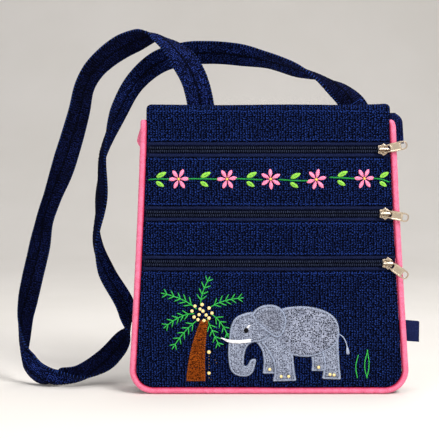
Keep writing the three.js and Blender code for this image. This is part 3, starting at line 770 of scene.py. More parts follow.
NAVY = slub_cloth("navy_slub_cloth", (0, 0, 2), (5, 8, 27), (46, 77, 167))
STRAP_CLOTH = web_cloth("strap_webbing", (0, 0, 2), (4, 6, 22), (46, 68, 154), hem=9.2)
# A darker copy of the strap webbing for the inner face, as painted shade
STRAP_INSIDE_SHADED = web_cloth("strap_underside_shaded", (0, 0, 2), (5, 7, 24), (27, 38, 94), hem=9.2)
TAB_CLOTH = web_cloth("tab_webbing", (4, 7, 24), (13, 19, 50), (42, 58, 128), 1.6, 1.4)
LABEL_CLOTH = web_cloth("label_satin", (19, 25, 57), (30, 37, 78), (48, 58, 110), 0.8, 0.7)
# The last colour of the piping is painted shade, where the cord turns into the seam
PINK = piping_cloth("pink_piping", (211, 78, 112), (234, 109, 142), (248, 144, 176), (184, 38, 76))
TAPE = web_cloth("zip_tape_weave", (14, 19, 42), (26, 33, 66), (44, 56, 100), 0.9, 0.9)
COIL = nylon("zip_nylon", (22, 27, 42), (50, 58, 80))
METAL = cast_metal("champagne_metal", (186, 169, 146), (214, 197, 174))
# The bridge's bright colour is a painted highlight on top, and its brown is painted shade underneath
BRIDGE = shaded_bridge("bridge_metal", (96, 66, 38), (246, 232, 210), 7.0)
GREY_FELT = felt("grey_felt", (108, 113, 131), (152, 157, 176), (202, 209, 226), (6, 8, 16))
HEAD_FELT = felt("head_felt", (112, 118, 136), (152, 159, 178), (200, 208, 227), (16, 18, 30), 0.7)
EAR_FELT = felt("ear_felt", (102, 106, 122), (134, 139, 155), (174, 180, 198), (34, 37, 50), 0.7)
BROWN_FELT = felt("brown_felt", (98, 40, 6), (136, 62, 12), (172, 88, 24), (22, 9, 4), 0.9)
CREAM = glazed("cream_bead", (240, 204, 116), (255, 236, 172))
# Threads: dark, middle and bright colours, then shine and pitch where they aren't the usual ones
THREADS = {
    "navy": ((12, 22, 66), (22, 42, 108), (48, 84, 178), 0.05),
    "strap_edge": ((10, 20, 62), (24, 43, 108), (50, 82, 168), 0.04),
    "ink": ((2, 3, 10), (5, 7, 22), (14, 20, 48), 0.03),
    "petal": ((226, 78, 128), (246, 122, 164), (255, 176, 204), 0.22, 1.1),
    "leaf": ((84, 156, 30), (126, 198, 54), (170, 226, 92), 0.22, 1.1),
    "stem": ((2, 66, 20), (8, 118, 38), (40, 178, 74)),
    "frond": ((8, 118, 32), (22, 170, 52), (78, 212, 100)),
    "yellow": ((236, 150, 40), (252, 202, 62), (255, 236, 130)),
    "grey": ((130, 140, 164), (156, 167, 190), (192, 202, 222), 0.1),
    "shade": ((34, 38, 54), (54, 59, 76), (92, 97, 114), 0.08),
    "brown": ((108, 46, 10), (138, 64, 16), (176, 94, 34), 0.1),
    "white": ((206, 206, 210), (236, 236, 238), (252, 252, 252)),
    "black": ((2, 2, 3), (6, 6, 8), (20, 20, 24), 0.08),
    "gold": ((96, 66, 34), (150, 108, 58), (200, 156, 96)),
}
THREAD = {name: twisted_thread(name, *row) for name, row in THREADS.items()}


# Camera, light and floor, in metres

CAMERA_PLACE = (-0.04085, -0.917, 0.202)
CAMERA_PITCH = 86.3
LENS = 90.84
AIM = Vector((-0.04, 0.0, 0.14))
ROOM_COLOUR = (0.93, 0.95, 1.0, 1)
ROOM_LIGHT = 0.26
# Name, place, size and power
LAMPS = [
    ("key", (0.7, -0.85, 1.2), 0.7, 24.0),
    ("fill", (-0.95, -1.2, 0.6), 1.1, 10.0),
    ("top", (0.1, 0.15, 1.35), 1.0, 10.0),
]
FLOOR_HALF_WIDTH = 2.6
FLOOR_DROP = 0.0003
BEND_RADIUS = 0.9


def studio():
    scene = bpy.context.scene
    link = scene.collection.objects.link
    data = bpy.data.cameras.new("camera")
    data.sensor_width = 36
    data.lens = LENS
    data.clip_start = 0.02
    camera = bpy.data.objects.new("camera", data)
    camera.location = CAMERA_PLACE
    camera.rotation_euler = (math.radians(CAMERA_PITCH), 0, 0)
    link(camera)
    scene.camera = camera
    world = bpy.data.worlds.new("soft_room")
    world.use_nodes = True
    room = world.node_tree.nodes["Background"].inputs
    room[0].default_value = ROOM_COLOUR
    room[1].default_value = ROOM_LIGHT
    scene.world = world
    scene.view_settings.view_transform = "Standard"
    for name, place, size, power in LAMPS:
        lamp = bpy.data.lights.new(name, "AREA")
        lamp.shape = "DISK"
        lamp.size = size
        lamp.energy = power
        obj = bpy.data.objects.new(name, lamp)
        obj.location = place
        obj.rotation_euler = (AIM - Vector(place)).to_track_quat("-Z", "Y").to_euler()
        link(obj)
    run = [(-2.2, 0.0), (-1.0, 0.0), (0.0, 0.0), (0.6, 0.0)]
    for angle in np.linspace(0, math.pi / 2, 13):
        run.append((0.9 + BEND_RADIUS * math.sin(angle), BEND_RADIUS - BEND_RADIUS * math.cos(angle)))
    run += [(1.8, 1.6), (1.8, 2.6)]
    points = [(x, y, z - FLOOR_DROP) for y, z in run for x in (-FLOOR_HALF_WIDTH, FLOOR_HALF_WIDTH)]
    faces = [(2 * i, 2 * i + 1, 2 * i + 3, 2 * i + 2) for i in range(len(run) - 1)]
    mesh = bpy.data.meshes.new("backdrop")
    mesh.from_pydata(points, [], faces)
    mesh.polygons.foreach_set("use_smooth", np.ones(len(faces), bool))
    look = Look("pale_floor", 0.25)
    mesh.materials.append(look.mottle(look.cloud(3, 3.0), (226, 221, 214), (232, 227, 221), (0.75, 0.65)))
    backdrop = bpy.data.objects.new("backdrop", mesh)
    link(backdrop)


# Strap


def catmull_rows(rows, steps):
    """Centripetal Catmull-Rom through rows, with the same number of steps in each."""
    t = np.linspace(0, 1, steps, endpoint=False)[:, None]
    runs = []
    for a, b, c, d in spans(rows):
        gaps = [np.sum((q - r) ** 2) ** 0.25 for q, r in ((a, b), (b, c), (c, d))]
        gaps[1] = gaps[1] if gaps[1] > 1e-4 else 1.0
        first, mid, last = (gap if gap > 1e-4 else gaps[1] for gap in gaps)
        start = ((b - a) / first - (c - a) / (first + mid) + (c - b) / mid) * mid
        end = ((c - b) / mid - (d - b) / (mid + last) + (d - c) / last) * mid
        curve = (3 * (c - b) - 2 * start - end) * t**2 + (2 * (b - c) + start + end) * t**3
        runs.append(b + start * t + curve)
    return np.vstack(runs + [rows[-1:]])


def soften(values, spread):
    """Gaussian smoothing along a path, with its ends held."""
    reach = int(3 * spread)
    kernel = np.exp(-0.5 * (np.arange(-reach, reach + 1) / spread) ** 2)
    kernel /= kernel.sum()
    before = 2 * values[:1] - values[reach:0:-1]
    after = 2 * values[-1:] - values[-2:-reach - 2:-1]
    padded = np.vstack([before, values, after])
    return np.stack([np.convolve(column, kernel, "valid") for column in padded.T], -1)


class Band:
    """The strap's course: evenly spaced middles, directions across, normals and cups."""

    def __init__(self):
        rows = np.array(STRAP_ROWS, float)
        path = np.hstack([catmull_rows(part, 14) for part in (rows[:, :3], rows[:, 3:6], rows[:, 6:])])
        self.length = lengths(path[:, :3])[-1]
        self.far = np.linspace(0, self.length, int(self.length / STRAP_STEP) + 1)
        path = even_steps(path, len(self.far), 3)
        self.middle = soften(path[:, :3], 1.2)
        self.tangent = unit(np.gradient(self.middle, axis=0))
        across = soften(path[:, 3:6], 1.8)
        self.across = unit(across - np.sum(across * self.tangent, 1, keepdims=True) * self.tangent)
        self.normal = np.cross(self.tangent, self.across)
        self.cup = np.radians(soften(path[:, 6:], 1.8)[:, 0])
        # The band spreads a little where it is folded on the floor
        low = bell(self.middle[:, 0] + 168, 26) * bell(self.middle[:, 2], 20)
        self.half = STRAP_WIDTH / 2 * (1 + 0.22 * low)

    def place(self, s, height, rows=slice(None)):
        """Points at s from -1 to 1 across the band, at a height over its middle layer."""
        cup = self.cup[rows][:, None]
        half = self.half[rows][:, None]
        lift = np.sin(cup) * (np.sqrt(s**2 + 0.05) - math.sqrt(0.05)) / (math.sqrt(1.05) - math.sqrt(0.05))
        sideways = self.across[rows][:, None] * (half * s * np.cos(cup))[..., None]
        upwards = self.normal[rows][:, None] * (half * lift + height)[..., None]
        return self.middle[rows][:, None] + sideways + upwards

    def threads(self, s, height, slant, margin, pitch, floor):
        """Short threads at a pitch along the band: the rows they sit on, and their paths."""
        wanted = np.arange(margin, self.length - margin, pitch)
        rows = np.round(np.interp(wanted, self.far, np.arange(len(self.far)))).astype(int)
        path = self.place(s, height, rows) + self.tangent[rows][:, None] * slant[:, None]
        keep_above(path, floor)
        return rows, path


BAND = Band()


def make_strap():
    s = np.sin(np.linspace(-1, 1, 25) * math.pi / 2)
    edge = np.sqrt(clamp(1 - (clamp(np.abs(s) - 0.9) / 0.1) ** 2))
    groove = 0.28 * bell(s, 0.035)
    thick = STRAP_THICKNESS / 2 * (0.22 + 0.78 * edge) - groove
    ribs = 0.06 * np.sin(2 * math.pi * BAND.far / 4.2)[:, None] * edge
    outer, inner = BAND.place(s, -(thick + ribs)), BAND.place(s, thick + ribs)
    keep_above(outer, FLOOR_CLEARANCE)
    keep_above(inner, 1.4 * np.clip(thick, 0.2, 1))
    uv = join(BAND.far[:, None], s * STRAP_WIDTH / 2)
    pile = Pile()
    # The inner face takes the darker webbing, which is painted shade
    shell(pile, outer, inner, uv, [0, 1])
    strap = pile.build("strap_band", STRAP_CLOTH, STRAP_INSIDE_SHADED, slot="strap_cloth", replaces="strap")

    # Whipped stitches round each edge, by turns blue and dark
    ticks = Pile()
    across = np.array([0.87, 0.96, 1.0, 0.96, 0.87])
    height = np.array([-1.05, -0.75, 0.0, 0.75, 1.05])
    radii = np.array([0.2, 0.38, 0.42, 0.38, 0.2])
    slant = np.linspace(-0.5, 0.5, 5)
    for side in (-1, 1):
        rows, path = BAND.threads(side * across, height, slant, margin=4, pitch=1.3, floor=0.35)
        up = side * BAND.across[rows][:, None]
        for parity in (0, 1):
            tubes(ticks, path[parity::2], radii, up[parity::2], sides=5, paint=parity, flat=0.8)
    edges = ticks.build("strap_edge_stitches", THREAD["strap_edge"], THREAD["ink"], slot="strap_cloth")

    # The seam along the middle, on both faces
    seam = Pile()
    height = np.array([0.5, 0.82, 0.88, 0.82, 0.5])
    radii = np.array([0.12, 0.24, 0.26, 0.24, 0.12])
    slant = np.linspace(-1.3, 1.3, 5)
    for side in (-1, 1):
        rows, path = BAND.threads(np.zeros(5), side * height, slant, margin=8, pitch=2.9, floor=0.25)
        tubes(seam, path, radii, side * BAND.normal[rows][:, None], sides=5, flat=0.8)
    centre = seam.build("strap_centre_stitches", THREAD["ink"], slot="strap_cloth")


def make_back_seams():
    """Box stitching that holds the strap ends to the back."""
    pile = Pile()
    last_row = len(BAND.far) - 1
    edge = 0.75
    in_run = 7
    arch = 0.98 + 0.16 * np.sin(math.pi * np.linspace(0, 1, 5))[:, None]
    # Rows of the band under each box
    for first, last in ((3, 19), (last_row - 19, last_row - 3)):
        corners = [(first, -edge), (last, -edge), (last, edge), (first, edge)]
        runs = list(zip(corners, corners[1:] + corners[:1]))
        runs += [(corners[0], corners[2]), (corners[1], corners[3])]
        for start, end in runs:
            for k in range(in_run):
                t = (k + np.linspace(0.1, 0.86, 5)) / in_run
                rows, s = (np.interp(t, [0, 1], pair) for pair in zip(start, end))
                low = np.clip(rows.astype(int), 0, last_row - 1)
                for side in (-1, 1):
                    a, b = (BAND.place(s[:, None], side * arch, low + more)[:, 0] for more in (0, 1))
                    path = a + (b - a) * (rows - low)[:, None]
                    tubes(pile, path[None], 0.24, side * BAND.normal[low[2]], sides=5)
    pile.build("strap_box_stitches", THREAD["navy"], slot="strap_cloth")


# Cloth of the body


def roll_back(distance):
    """How far the cloth turns back near a folded edge."""
    return EDGE_TURN * (1 - roll_edge(distance, EDGE_ROLL))


def edge_spaced(low, high, step, ends=(0, 0.25, 0.6, 1.0)):
    """Even places, with closer ones near both ends."""
    inner = np.linspace(low + 1.5, high - 1.5, max(2, int((high - low) / step)))
    return np.unique(np.r_[[low + e for e in ends], inner, [high - e for e in ends]])


def cloth_face(rows, side, step, low, high):
    """Outer and inner points of a flat panel in the front or back face, and its UVs."""
    widest = float(half_width(rows).max())
    u = edge_spaced(-widest, widest, step) / widest
    z = rows[:, None]
    x = half_width(z) * u
    border = np.minimum(np.minimum(half_width(z) - np.abs(x), z - low), high - z)
    turn = roll_back(np.clip(border, 0, None))
    depth = face_depth(x, z) + relief(x, z) * (1 if side < 0 else 0.8)
    layers = [join(x + lean(z), side * face, z) for face in (depth - turn, depth - CLOTH + turn)]
    return *layers, join(x, z)


def corner_rows(high, step):
    corner = CORNER_Z - CORNER_RADIUS * np.cos(np.linspace(0, math.pi / 2, 15)[:-1])
    upper = edge_spaced(SIDE_START, high, step)
    upper = upper[upper > SIDE_START + 0.2]
    low = PANEL_BOTTOM + np.array([0.25, 0.6, 1.0])
    return np.unique(np.r_[corner, low, SIDE_START, upper])


def make_panels():
    top, middle, lower = (row["height"] for row in ZIPS.values())
    half = ZIP_HALF_OPENING
    panels = [
        ("flower_panel", middle + half, top - half, -1, FINE_STEP),
        ("middle_panel", lower + half, middle - half, -1, FINE_STEP),
        ("lower_panel", PANEL_BOTTOM, lower - half, -1, FINE_STEP),
        ("back_panel", PANEL_BOTTOM, FOLD_START - BACK_LIP - GAP, 1, BACK_STEP),
    ]
    for name, low, high, side, step in panels:
        rows = corner_rows(high, step) if low == PANEL_BOTTOM else edge_spaced(low, high, step)
        panel = cloth_piece(name, NAVY, *cloth_face(rows, side, step, low, high), crease=60)


def make_yoke():
    low = ZIPS["zip_top"]["height"] + ZIP_HALF_OPENING
    lip = FOLD_START - BACK_LIP
    front = edge_spaced(low, FOLD_START, FINE_STEP)
    front = front[front < FOLD_START - 0.3]
    angle = np.linspace(0, math.pi, 19)
    back = np.r_[np.linspace(FOLD_START, lip + 1, 5)[1:], lip + np.array([0.6, 0.25, 0])]
    z = np.r_[front, FOLD_START + TOP_FOLD_RISE * np.sin(angle), back][:, None]
    inner_z = np.r_[front, FOLD_START + (TOP_FOLD_RISE - CLOTH) * np.sin(angle), back][:, None]
    out = np.r_[-np.ones(len(front)), -np.cos(angle), np.ones(len(back))][:, None]
    fade = np.r_[clamp((FOLD_START - front) / 6), 0 * angle, 0 * back][:, None]
    border = np.r_[front - low, 9 + 0 * angle, back - FOLD_START + BACK_LIP][:, None]
    level = np.minimum(z, FOLD_START)
    above = np.clip(z - (BAG_HEIGHT - TOP_CORNER_RADIUS), 0, None)
    half = side_seam(z) - TOP_CORNER_RADIUS + np.sqrt(TOP_CORNER_RADIUS**2 - above**2)
    x = half * edge_spaced(-TOP_HALF_WIDTH, TOP_HALF_WIDTH, FINE_STEP) / TOP_HALF_WIDTH
    ripple = relief(x, level + 0 * x) * fade + 0.12 * np.sin(x / 3.3 + np.sin(x / 7)) * (1 - fade)
    depth = face_depth(x, level + 0 * x) + ripple
    turn = roll_back(np.minimum(np.clip(border, 0, None), half - np.abs(x)))
    # The upper corners stand out a little, and the right one is higher
    high_up = clamp((z - PIPING_TUCK_FROM) / 8)
    wave = 0.25 * np.sin(x / 19 + 0.7) * clamp((z - FOLD_START) / TOP_FOLD_RISE)
    wave = wave + clamp((x - 50) / 45) ** 2 * high_up
    wide = x + np.sign(x) * clamp((np.abs(x) - 55) / 40) ** 2 * high_up + lean(z)
    outer = join(wide, out * (depth - turn), z + wave)
    inner = join(wide, out * (depth - CLOTH + turn), inner_z + wave)
    along = lengths(np.hstack([z, out * face_depth(0, level)])) + low
    yoke = cloth_piece("yoke", NAVY, outer, inner, join(x, along[:, None]), crease=70)


def seam_line(offset, top, step):
    """Places round the seam from upper left, under the base, to upper right: x, z, out x, out z."""
    angle = np.linspace(-math.pi / 2, CORNER_TILT, 40)
    z = np.linspace(SIDE_START, top, 120)
    flat = join(np.linspace(0, CORNER_X, 60), PANEL_BOTTOM, -math.pi / 2)
    turn = join(CORNER_X + CORNER_RADIUS * np.cos(angle), CORNER_Z + CORNER_RADIUS * np.sin(angle), angle)
    line = np.vstack([flat[:-1], turn[:-1], join(side_seam(z), z, side_tilt(z))])
    right = np.c_[line[:, :2], np.cos(line[:, 2]), np.sin(line[:, 2])]
    whole = np.vstack([right[:0:-1] * np.array([-1, 1, -1, 1]), right])
    whole[:, :2] += offset * whole[:, 2:]
    return even_steps(whole, int(lengths(whole[:, :2])[-1] / step) + 1, 2)


def make_gusset():
    step = 2.0
    line = seam_line(0, GUSSET_TOP, step)
    c = np.linspace(-1, 1, 21)
    bump = ease((0.78 - np.abs(c)) / 0.36)
    x, z, out_x, out_z = line.T[..., None]
    down = np.clip(-out_z, 0, None)
    sag = GUSSET_SIDE_SAG + (PANEL_BOTTOM - GUSSET_SIDE_SAG) * down**2
    y = (seam_depth(z) - CLOTH - GAP) * c
    far = np.linspace(0, step * len(line), len(line))[:, None]
    ripple = 0.12 * np.sin(far / 3.7 + 2 * c) * (1 - down) * bump
    grids = []
    for inset in (0, CLOTH):
        move = sag * bump - inset + ripple
        height = np.maximum(z + move * out_z, FLOOR_CLEARANCE)
        grids.append(join(x + move * out_x + lean(z), y, height))
    gusset = cloth_piece("gusset", NAVY, *grids, join(y, far), crease=60)


def make_piping(name, side, sway):
    line = seam_line(PIPING_RADIUS + GAP, PIPING_TOP, 1.15)
    x, z, out_x, out_z = line.T
    span = np.where(z > PIPING_SWAY_HEIGHT, PIPING_SWAY_SPAN, PIPING_SWAY_DROP)
    bow = np.where(x < 0, sway * bell(z - PIPING_SWAY_HEIGHT, span), 0)
    rise = clamp((z - PIPING_TUCK_FROM) / (PIPING_TOP - PIPING_TUCK_FROM))
    tuck = np.where(x > 0, rise**2, 0)
    path = join(x - bow - PIPING_TUCK * tuck + lean(z), side * (seam_depth(z) - PIPING_SET), z)
    out = join(out_x, 0, out_z)
    sides = 20
    angle = circle(sides)
    far = lengths(path)
    corner = bell(np.abs(x) - CORNER_X - 7, 9) * (z < 26)
    twist = far[:, None] / 2.3 + 1.1 * angle + np.sin(far / 13)[:, None]
    gather = 0.045 * np.sin(twist) * (0.35 + 2.0 * corner[:, None])
    gather += 0.025 * np.sin(far / 5.1 + 1.3)[:, None] + 0.012 * rng.standard_normal((len(far), sides))
    gather *= np.where(np.abs(np.cos(angle)) > 0.9, 0.3, 1.0)
    end = clamp((np.minimum(far, far[-1] - far) + 0.25) / 1.8)
    taper = np.sqrt(np.clip(1 - (1 - end) ** 2, 0.02, 1)) * (1 - 0.12 * tuck)
    radius = PIPING_RADIUS * (1 + gather) * taper[:, None]
    ring = path[:, None] + (radius * np.cos(angle))[..., None] * out[:, None]
    ring[..., 1] += radius * np.sin(angle)
    keep_above(ring, FLOOR_CLEARANCE)
    pile = Pile()
    sweep(pile, ring[None], far[None], PIPING_RADIUS)
    pile.build(name + "_cord", PINK, slot="piping_cloth", replaces=name)


# Zips


def make_tapes(name, height, half):
    x = np.linspace(-(half - 0.2), half - 0.2, 112)
    at_end = clamp((np.abs(x) - half + 5) / 2.4)
    profile = smooth_path(TAPE_PROFILE, 29)
    s = profile[:, :1]
    visible = bell(s - 4.6, 1.6)
    pinch = clamp((5 - half - x) / 5) ** 2 * visible
    for towards, part in ((1, "upper"), (-1, "lower")):
        wave = 0.16 * np.sin(x / 15 + height + towards) + 0.08 * np.sin(x / 5.3 + towards)
        z = height + towards * (s + wave * visible * 0.8 - 1.1 * pinch)
        depth = profile[:, 1:] - 0.12 * visible * np.sin(x / 2.1 + height) + 0.7 * pinch
        depth = depth + at_end * (np.minimum(depth, 1.4) - depth)
        face = face_depth(x, z) - depth
        layers = [join(x + lean(z), back - face, z) for back in (0, TAPE_THICKNESS)]
        tape = cloth_piece(f"{name}_tape_{part}", TAPE, *layers, join(x, s), slot="zip_tape")


def make_coil(name, height, half):
    pile = Pile()
    reach = half - 0.6
    t = np.linspace(0, 1, 7)
    step = np.linspace(0, 1, 5)
    for towards in (1, -1):
        at = np.arange(-reach + 1, reach - 1, COIL_PITCH) + (COIL_PITCH / 2 if towards < 0 else 0)
        x = at[:, None] + 0.22 * towards * np.sin(math.pi * t)
        z = height + towards * (0.32 + 2.0 * t)
        out = 0.95 * np.sin(math.pi * clamp(0.12 + 0.8 * t)) ** 0.7 - 0.75
        depth = face_depth(x, height) + out - 0.35
        radii = COIL_RADIUS * (0.6 + 0.4 * np.sin(math.pi * t) ** 0.5)
        tubes(pile, join(x + lean(height), -depth, z), radii, FRONT)
        # The cord inside the coil
        x = np.linspace(-reach, reach, 60)
        depth = face_depth(x, height) - 1.25
        core = join(x + lean(height), -depth, height + towards * 1.5)
        tubes(pile, core[None], 1.0, FRONT, sides=10, paint=1, flat=0.6)
        # The lines of stitching that hold the coil to its tape
        x = np.arange(-reach + 1, reach - 2.4, 2.3)[:, None] + 2.0 * step
        z = height + towards * 2.98
        depth = face_depth(x, z) - 1.75 + 0.2 * np.sin(math.pi * step)
        tubes(pile, join(x + lean(height), -depth, z), 0.2, FRONT, sides=5, paint=1)
    pile.build(name + "_coil_teeth", COIL, THREAD["ink"], slot="zip_coil", replaces=name + "_coil")


def turned(angle, a, b):
    """The rotation by an angle from axis a towards axis b."""
    turn = np.eye(3)
    turn[a, a] = turn[b, b] = math.cos(angle)
    turn[b, a] = math.sin(angle)
    turn[a, b] = -math.sin(angle)
    return turn


def seat_of(row):
    """Place of a slider: its own origin on the face of the coil, -Y away from the bag."""
    x, z = row["slider"], row["height"]
    fall = float(face_depth(x, z - 1) - face_depth(x, z + 1))
    return turned(-math.atan2(fall, 2), 1, 2), np.array([x, -(float(face_depth(x, z)) + COIL_PROUD), z])


def mirror(corners):
    """Corners of one half of an outline, turned over for its other half."""
    return [(x, -z, radius) for x, z, radius in corners[::-1]]


def make_slider(name, row):
    turn, seat = seat_of(row)

    def place(local):
        return local @ turn.T + seat

    # Crown outline of the plate, in the plane of the cloth
    upper = [
        (-4.6, 3.4, 0.3), (-2.2, 3.5, 0.6), (0.0, 5.3, 0.5), (2.0, 3.8, 0.6), (3.6, 2.8, 0.6),
        (4.3, 0.0, 1.4),
    ]
    crown = rounded(upper + mirror(upper[:-1]) + [(-4.2, 0.0, 1.6)])
    filled = fill([crown], spacing=0.36, inset=(0.12, 0.3))
    points, _, distance, _ = filled
    rise = 0.25 + 0.75 * roll_edge(distance, 0.55)
    # A pocket under the bridge, where the loop of the pull passes
    pocket = clamp(np.minimum(2.5 - np.abs(points[:, 1]), 4.0 - np.abs(points[:, 0] - 0.4)) / 0.4)
    pile = Pile()
    plate(pile, filled, place, SLIDER_BACK - PLATE_HEIGHT * rise + POCKET_DEPTH * pocket, SLIDER_BACK)
    for end in (-1, 1):
        path = join(np.linspace(-3.7, 2.2, 15), 0.75, end * 3.3)
        bulge = 0.4 * np.clip(1 - np.abs(np.linspace(-1, 1, 15)) ** 8, 0.3, 1)
        tubes(pile, place(path)[None], bulge, FRONT, sides=10, flat=3.0)
    half = [(-3.5, -1.2, 0), (-3.8, -2.4, 0), (-3.4, -3.7, 0), (-2.0, -4.1, 0)]
    arch = smooth_path(half + [(-x, y, z) for x, y, z in half[::-1]], 31)
    girth = BRIDGE_RADIUS + 0.12 * np.sin(np.linspace(0, math.pi, 31))
    tubes(pile, place(arch)[None], girth, turn @ np.array([0, 0, 1.0]), sides=18, paint=1)
    pile.build(name + "_slider_cast", METAL, BRIDGE, slot="zip_metal", replaces=name + "_slider", crease=50)


def make_pull(name, row):
    turn, seat = seat_of(row)
    swing = turned(math.radians(row["tilt"]), 0, 2)
    axis = np.array([0, PULL_AXIS, 0])

    def place(local):
        return (local @ swing.T + axis) @ turn.T + seat

    # The lower halves of the outline, the eye and the slot, with the steps in each corner
    halves = [
        ([(-0.5, -3.1, 0.9), (4.2, -3.1, 1.2), (6.2, -3.7, 2), (19.6, -3.7, 4.2)], 10),
        ([(0.5, -2.3, 0.8), (5.4, -2.3, 2.2)], 8),
        ([(14.4, -2.4, 0.8), (18.5, -2.4, 2.4)], 7),
    ]
    outlines = [rounded(half + mirror(half), steps) for half, steps in halves]
    filled = fill(outlines, spacing=0.5, inset=(0.14, 0.32))
    distance = filled[2]
    recess = ease((distance - 0.8) / 0.25)
    thick = 0.3 + 0.25 * roll_edge(distance, 0.3) - 0.3 * recess
    pile = Pile()
    plate(pile, filled, place, -thick, thick)
    body = name + "_pull"
    pile.build(body + "_tab", METAL, slot="zip_metal", body=body, replaces=body, crease=40)


# Sewing on the body


def make_topstitching():
    pitch, length = 3.0, 2.3
    # Height, first and last x, and wobble of each line
    lines = []
    for row in ZIPS.values():
        for side in (-1, 1):
            z = row["height"] + side * (ZIP_HALF_OPENING + TOPSTITCH_INSET)
            reach = float(half_width(z)) - pitch
            lines.append((z, -reach, reach - 2.4, 0.12))
    lines.append((YOKE_LINE, -95, 92, 0.1))
    pile = Pile()
    for z, first, last, wobble in lines:
        xs = np.arange(first, last, pitch)
        starts = join(xs, z + wobble * rng.standard_normal(len(xs)))
        stitches(pile, starts, starts + [length, 0.0], radius=0.27, bow=0.3, base=-0.12)
    pile.build("edge_topstitching", THREAD["navy"])


def folded_tab(name, size, least, middle, inset, cloth, slope=0.0):
    """A band folded in two, its ends in the side seam and its fold outwards."""
    low, high, corner = size["low"], size["high"], size["corner"]
    layer = (size["thickness"] - size["slit"]) / 2
    z = edge_spaced(low, high, 0.8, (0, 0.15, 0.4, 0.8))[:, None]
    above = np.clip(z - (high - corner), 0, corner)
    reach = size["reach"] + size["flare"] * (high - z) - corner + np.sqrt(corner**2 - above**2)
    reach = np.maximum(reach, least + 3.5)
    start = side_seam(z) + lean(z) + inset
    edge = 0.5 * layer * (1 - roll_edge(np.minimum(z - low, high - z), 0.8))
    turn = np.linspace(-math.pi / 2, math.pi / 2, 13)
    run = np.linspace(0, 1, 14)
    grids = []
    for depth in (0.0, layer):
        fold = size["thickness"] / 2 - depth + edge * (-1 if depth == 0 else 1)
        end = reach - depth - fold
        out = start + (end - start) * run
        x = np.hstack([out, end + fold * np.cos(turn), out[:, ::-1]])
        y = np.hstack([-fold + 0 * run, fold * np.sin(turn), fold + 0 * run])
        wave = 0.15 * np.sin(z / 4 + x / 6)
        grids.append(join(x, middle + y + wave, z + slope * (x - start)))
    uv = join(lengths(grids[0]), z)
    band = cloth_piece(name, cloth, *grids, uv, ending="_band", slot="strap_cloth", crease=60)


def make_tabs():
    least = float(side_seam(SIDE_TAB["low"])) + GUSSET_SIDE_SAG + GAP
    folded_tab("side_tab", SIDE_TAB, least, 0.0, GUSSET_SIDE_SAG + 0.1, TAB_CLOTH)
    height = (LABEL["low"] + LABEL["high"]) / 2
    piping_back = -(float(seam_depth(height)) - PIPING_SET) + PIPING_RADIUS / math.cos(math.pi / 10)
    middle = piping_back + GAP + LABEL["thickness"] / 2
    least = float(side_seam(LABEL["low"])) + 2 * GAP
    folded_tab("side_label", LABEL, least, middle, 2 * GAP, LABEL_CLOTH, slope=-0.08)


# Embroidery

# Middle of each flower and its turn in degrees
FLOWERS = [(-73.5, 176.6, 2), (-33.9, 176.6, 4), (1.6, 176.6, 30), (39.0, 176.2, 14), (78.3, 177.0, 2)]
LEAF_PAIRS = [(-88.5, 176.6), (-52.2, 176.6), (-14.5, 176.6), (21.2, 175.8), (59.7, 177.4), (94.0, 176.6)]
STEMS = [
    [(-97.0, 176.2), (-90, 176.6), (-81, 176.5)], [(-66, 176.8), (-55, 176.8), (-42, 176.5)],
    [(-26.5, 177.0), (-15, 176.5), (-6.5, 176.0)], [(9.5, 176.2), (20, 175.4), (31.5, 175.2)],
    [(51.0, 178.0), (60, 177.5), (70, 177.0)], [(86, 177.2), (93, 176.2), (97.6, 174.4)],
]


def make_flower_vine():
    stems, leaves, petals, hearts = Pile(), Pile(), Pile(), Pile()
    for course in STEMS:
        rope(stems, smooth_path(course, 40), pitch=1.9, radius=0.56, length=3.2, slant=0.38)
    stems.build("vine_stems", THREAD["stem"])
    for x, z in LEAF_PAIRS:
        reach = 0.9 if x > 90 else 1.0
        shape = dict(height=0.75, fullness=0.85)
        lobe(leaves, (x - 3.1 * reach, z + 1.5), (x + 4.9 * reach, z + 5.4), width=3.9, **shape)
        lobe(leaves, (x - 3.5 * reach, z - 2.3), (x + 2.9 * reach, z - 6.0), width=3.6, **shape)
        veins = [(x - 1.8 * reach, z + 2.1), (x - 2.5 * reach, z - 2.9)]
        tips = [(x + 3.1 * reach, z + 4.5), (x + 1.5 * reach, z - 5.2)]
        stitches(leaves, veins, tips, radius=0.2, bow=0.5, base=0.35, paint=1)
    leaves.build("vine_leaves", THREAD["leaf"], THREAD["stem"])
    for x, z, turn in FLOWERS:
        middle = np.array([x, z])
        for k in range(6):
            angle = math.radians(turn + 60 * k + rng.uniform(-4, 4))
            way = np.array([math.cos(angle), math.sin(angle)])
            size = rng.uniform(7.6, 8.3)
            tip = middle + (size + 0.55) * way
            lobe(petals, middle + 1.1 * way, tip, width=3.15, height=1.0, fullness=1.3)
            line = middle + 2.0 * way, middle + 4.6 * way
            stitches(petals, *line, radius=0.16, bow=0.5, base=0.5, paint=1)
        turns = circle(8)
        beads(hearts, middle + join(np.cos(turns), np.sin(turns)), radius=0.42, paint=1)
        beads(hearts, [middle], radius=0.95)
    petals.build("vine_petals", THREAD["petal"], PINK)
    hearts.build("vine_flower_hearts", THREAD["yellow"], THREAD["gold"])


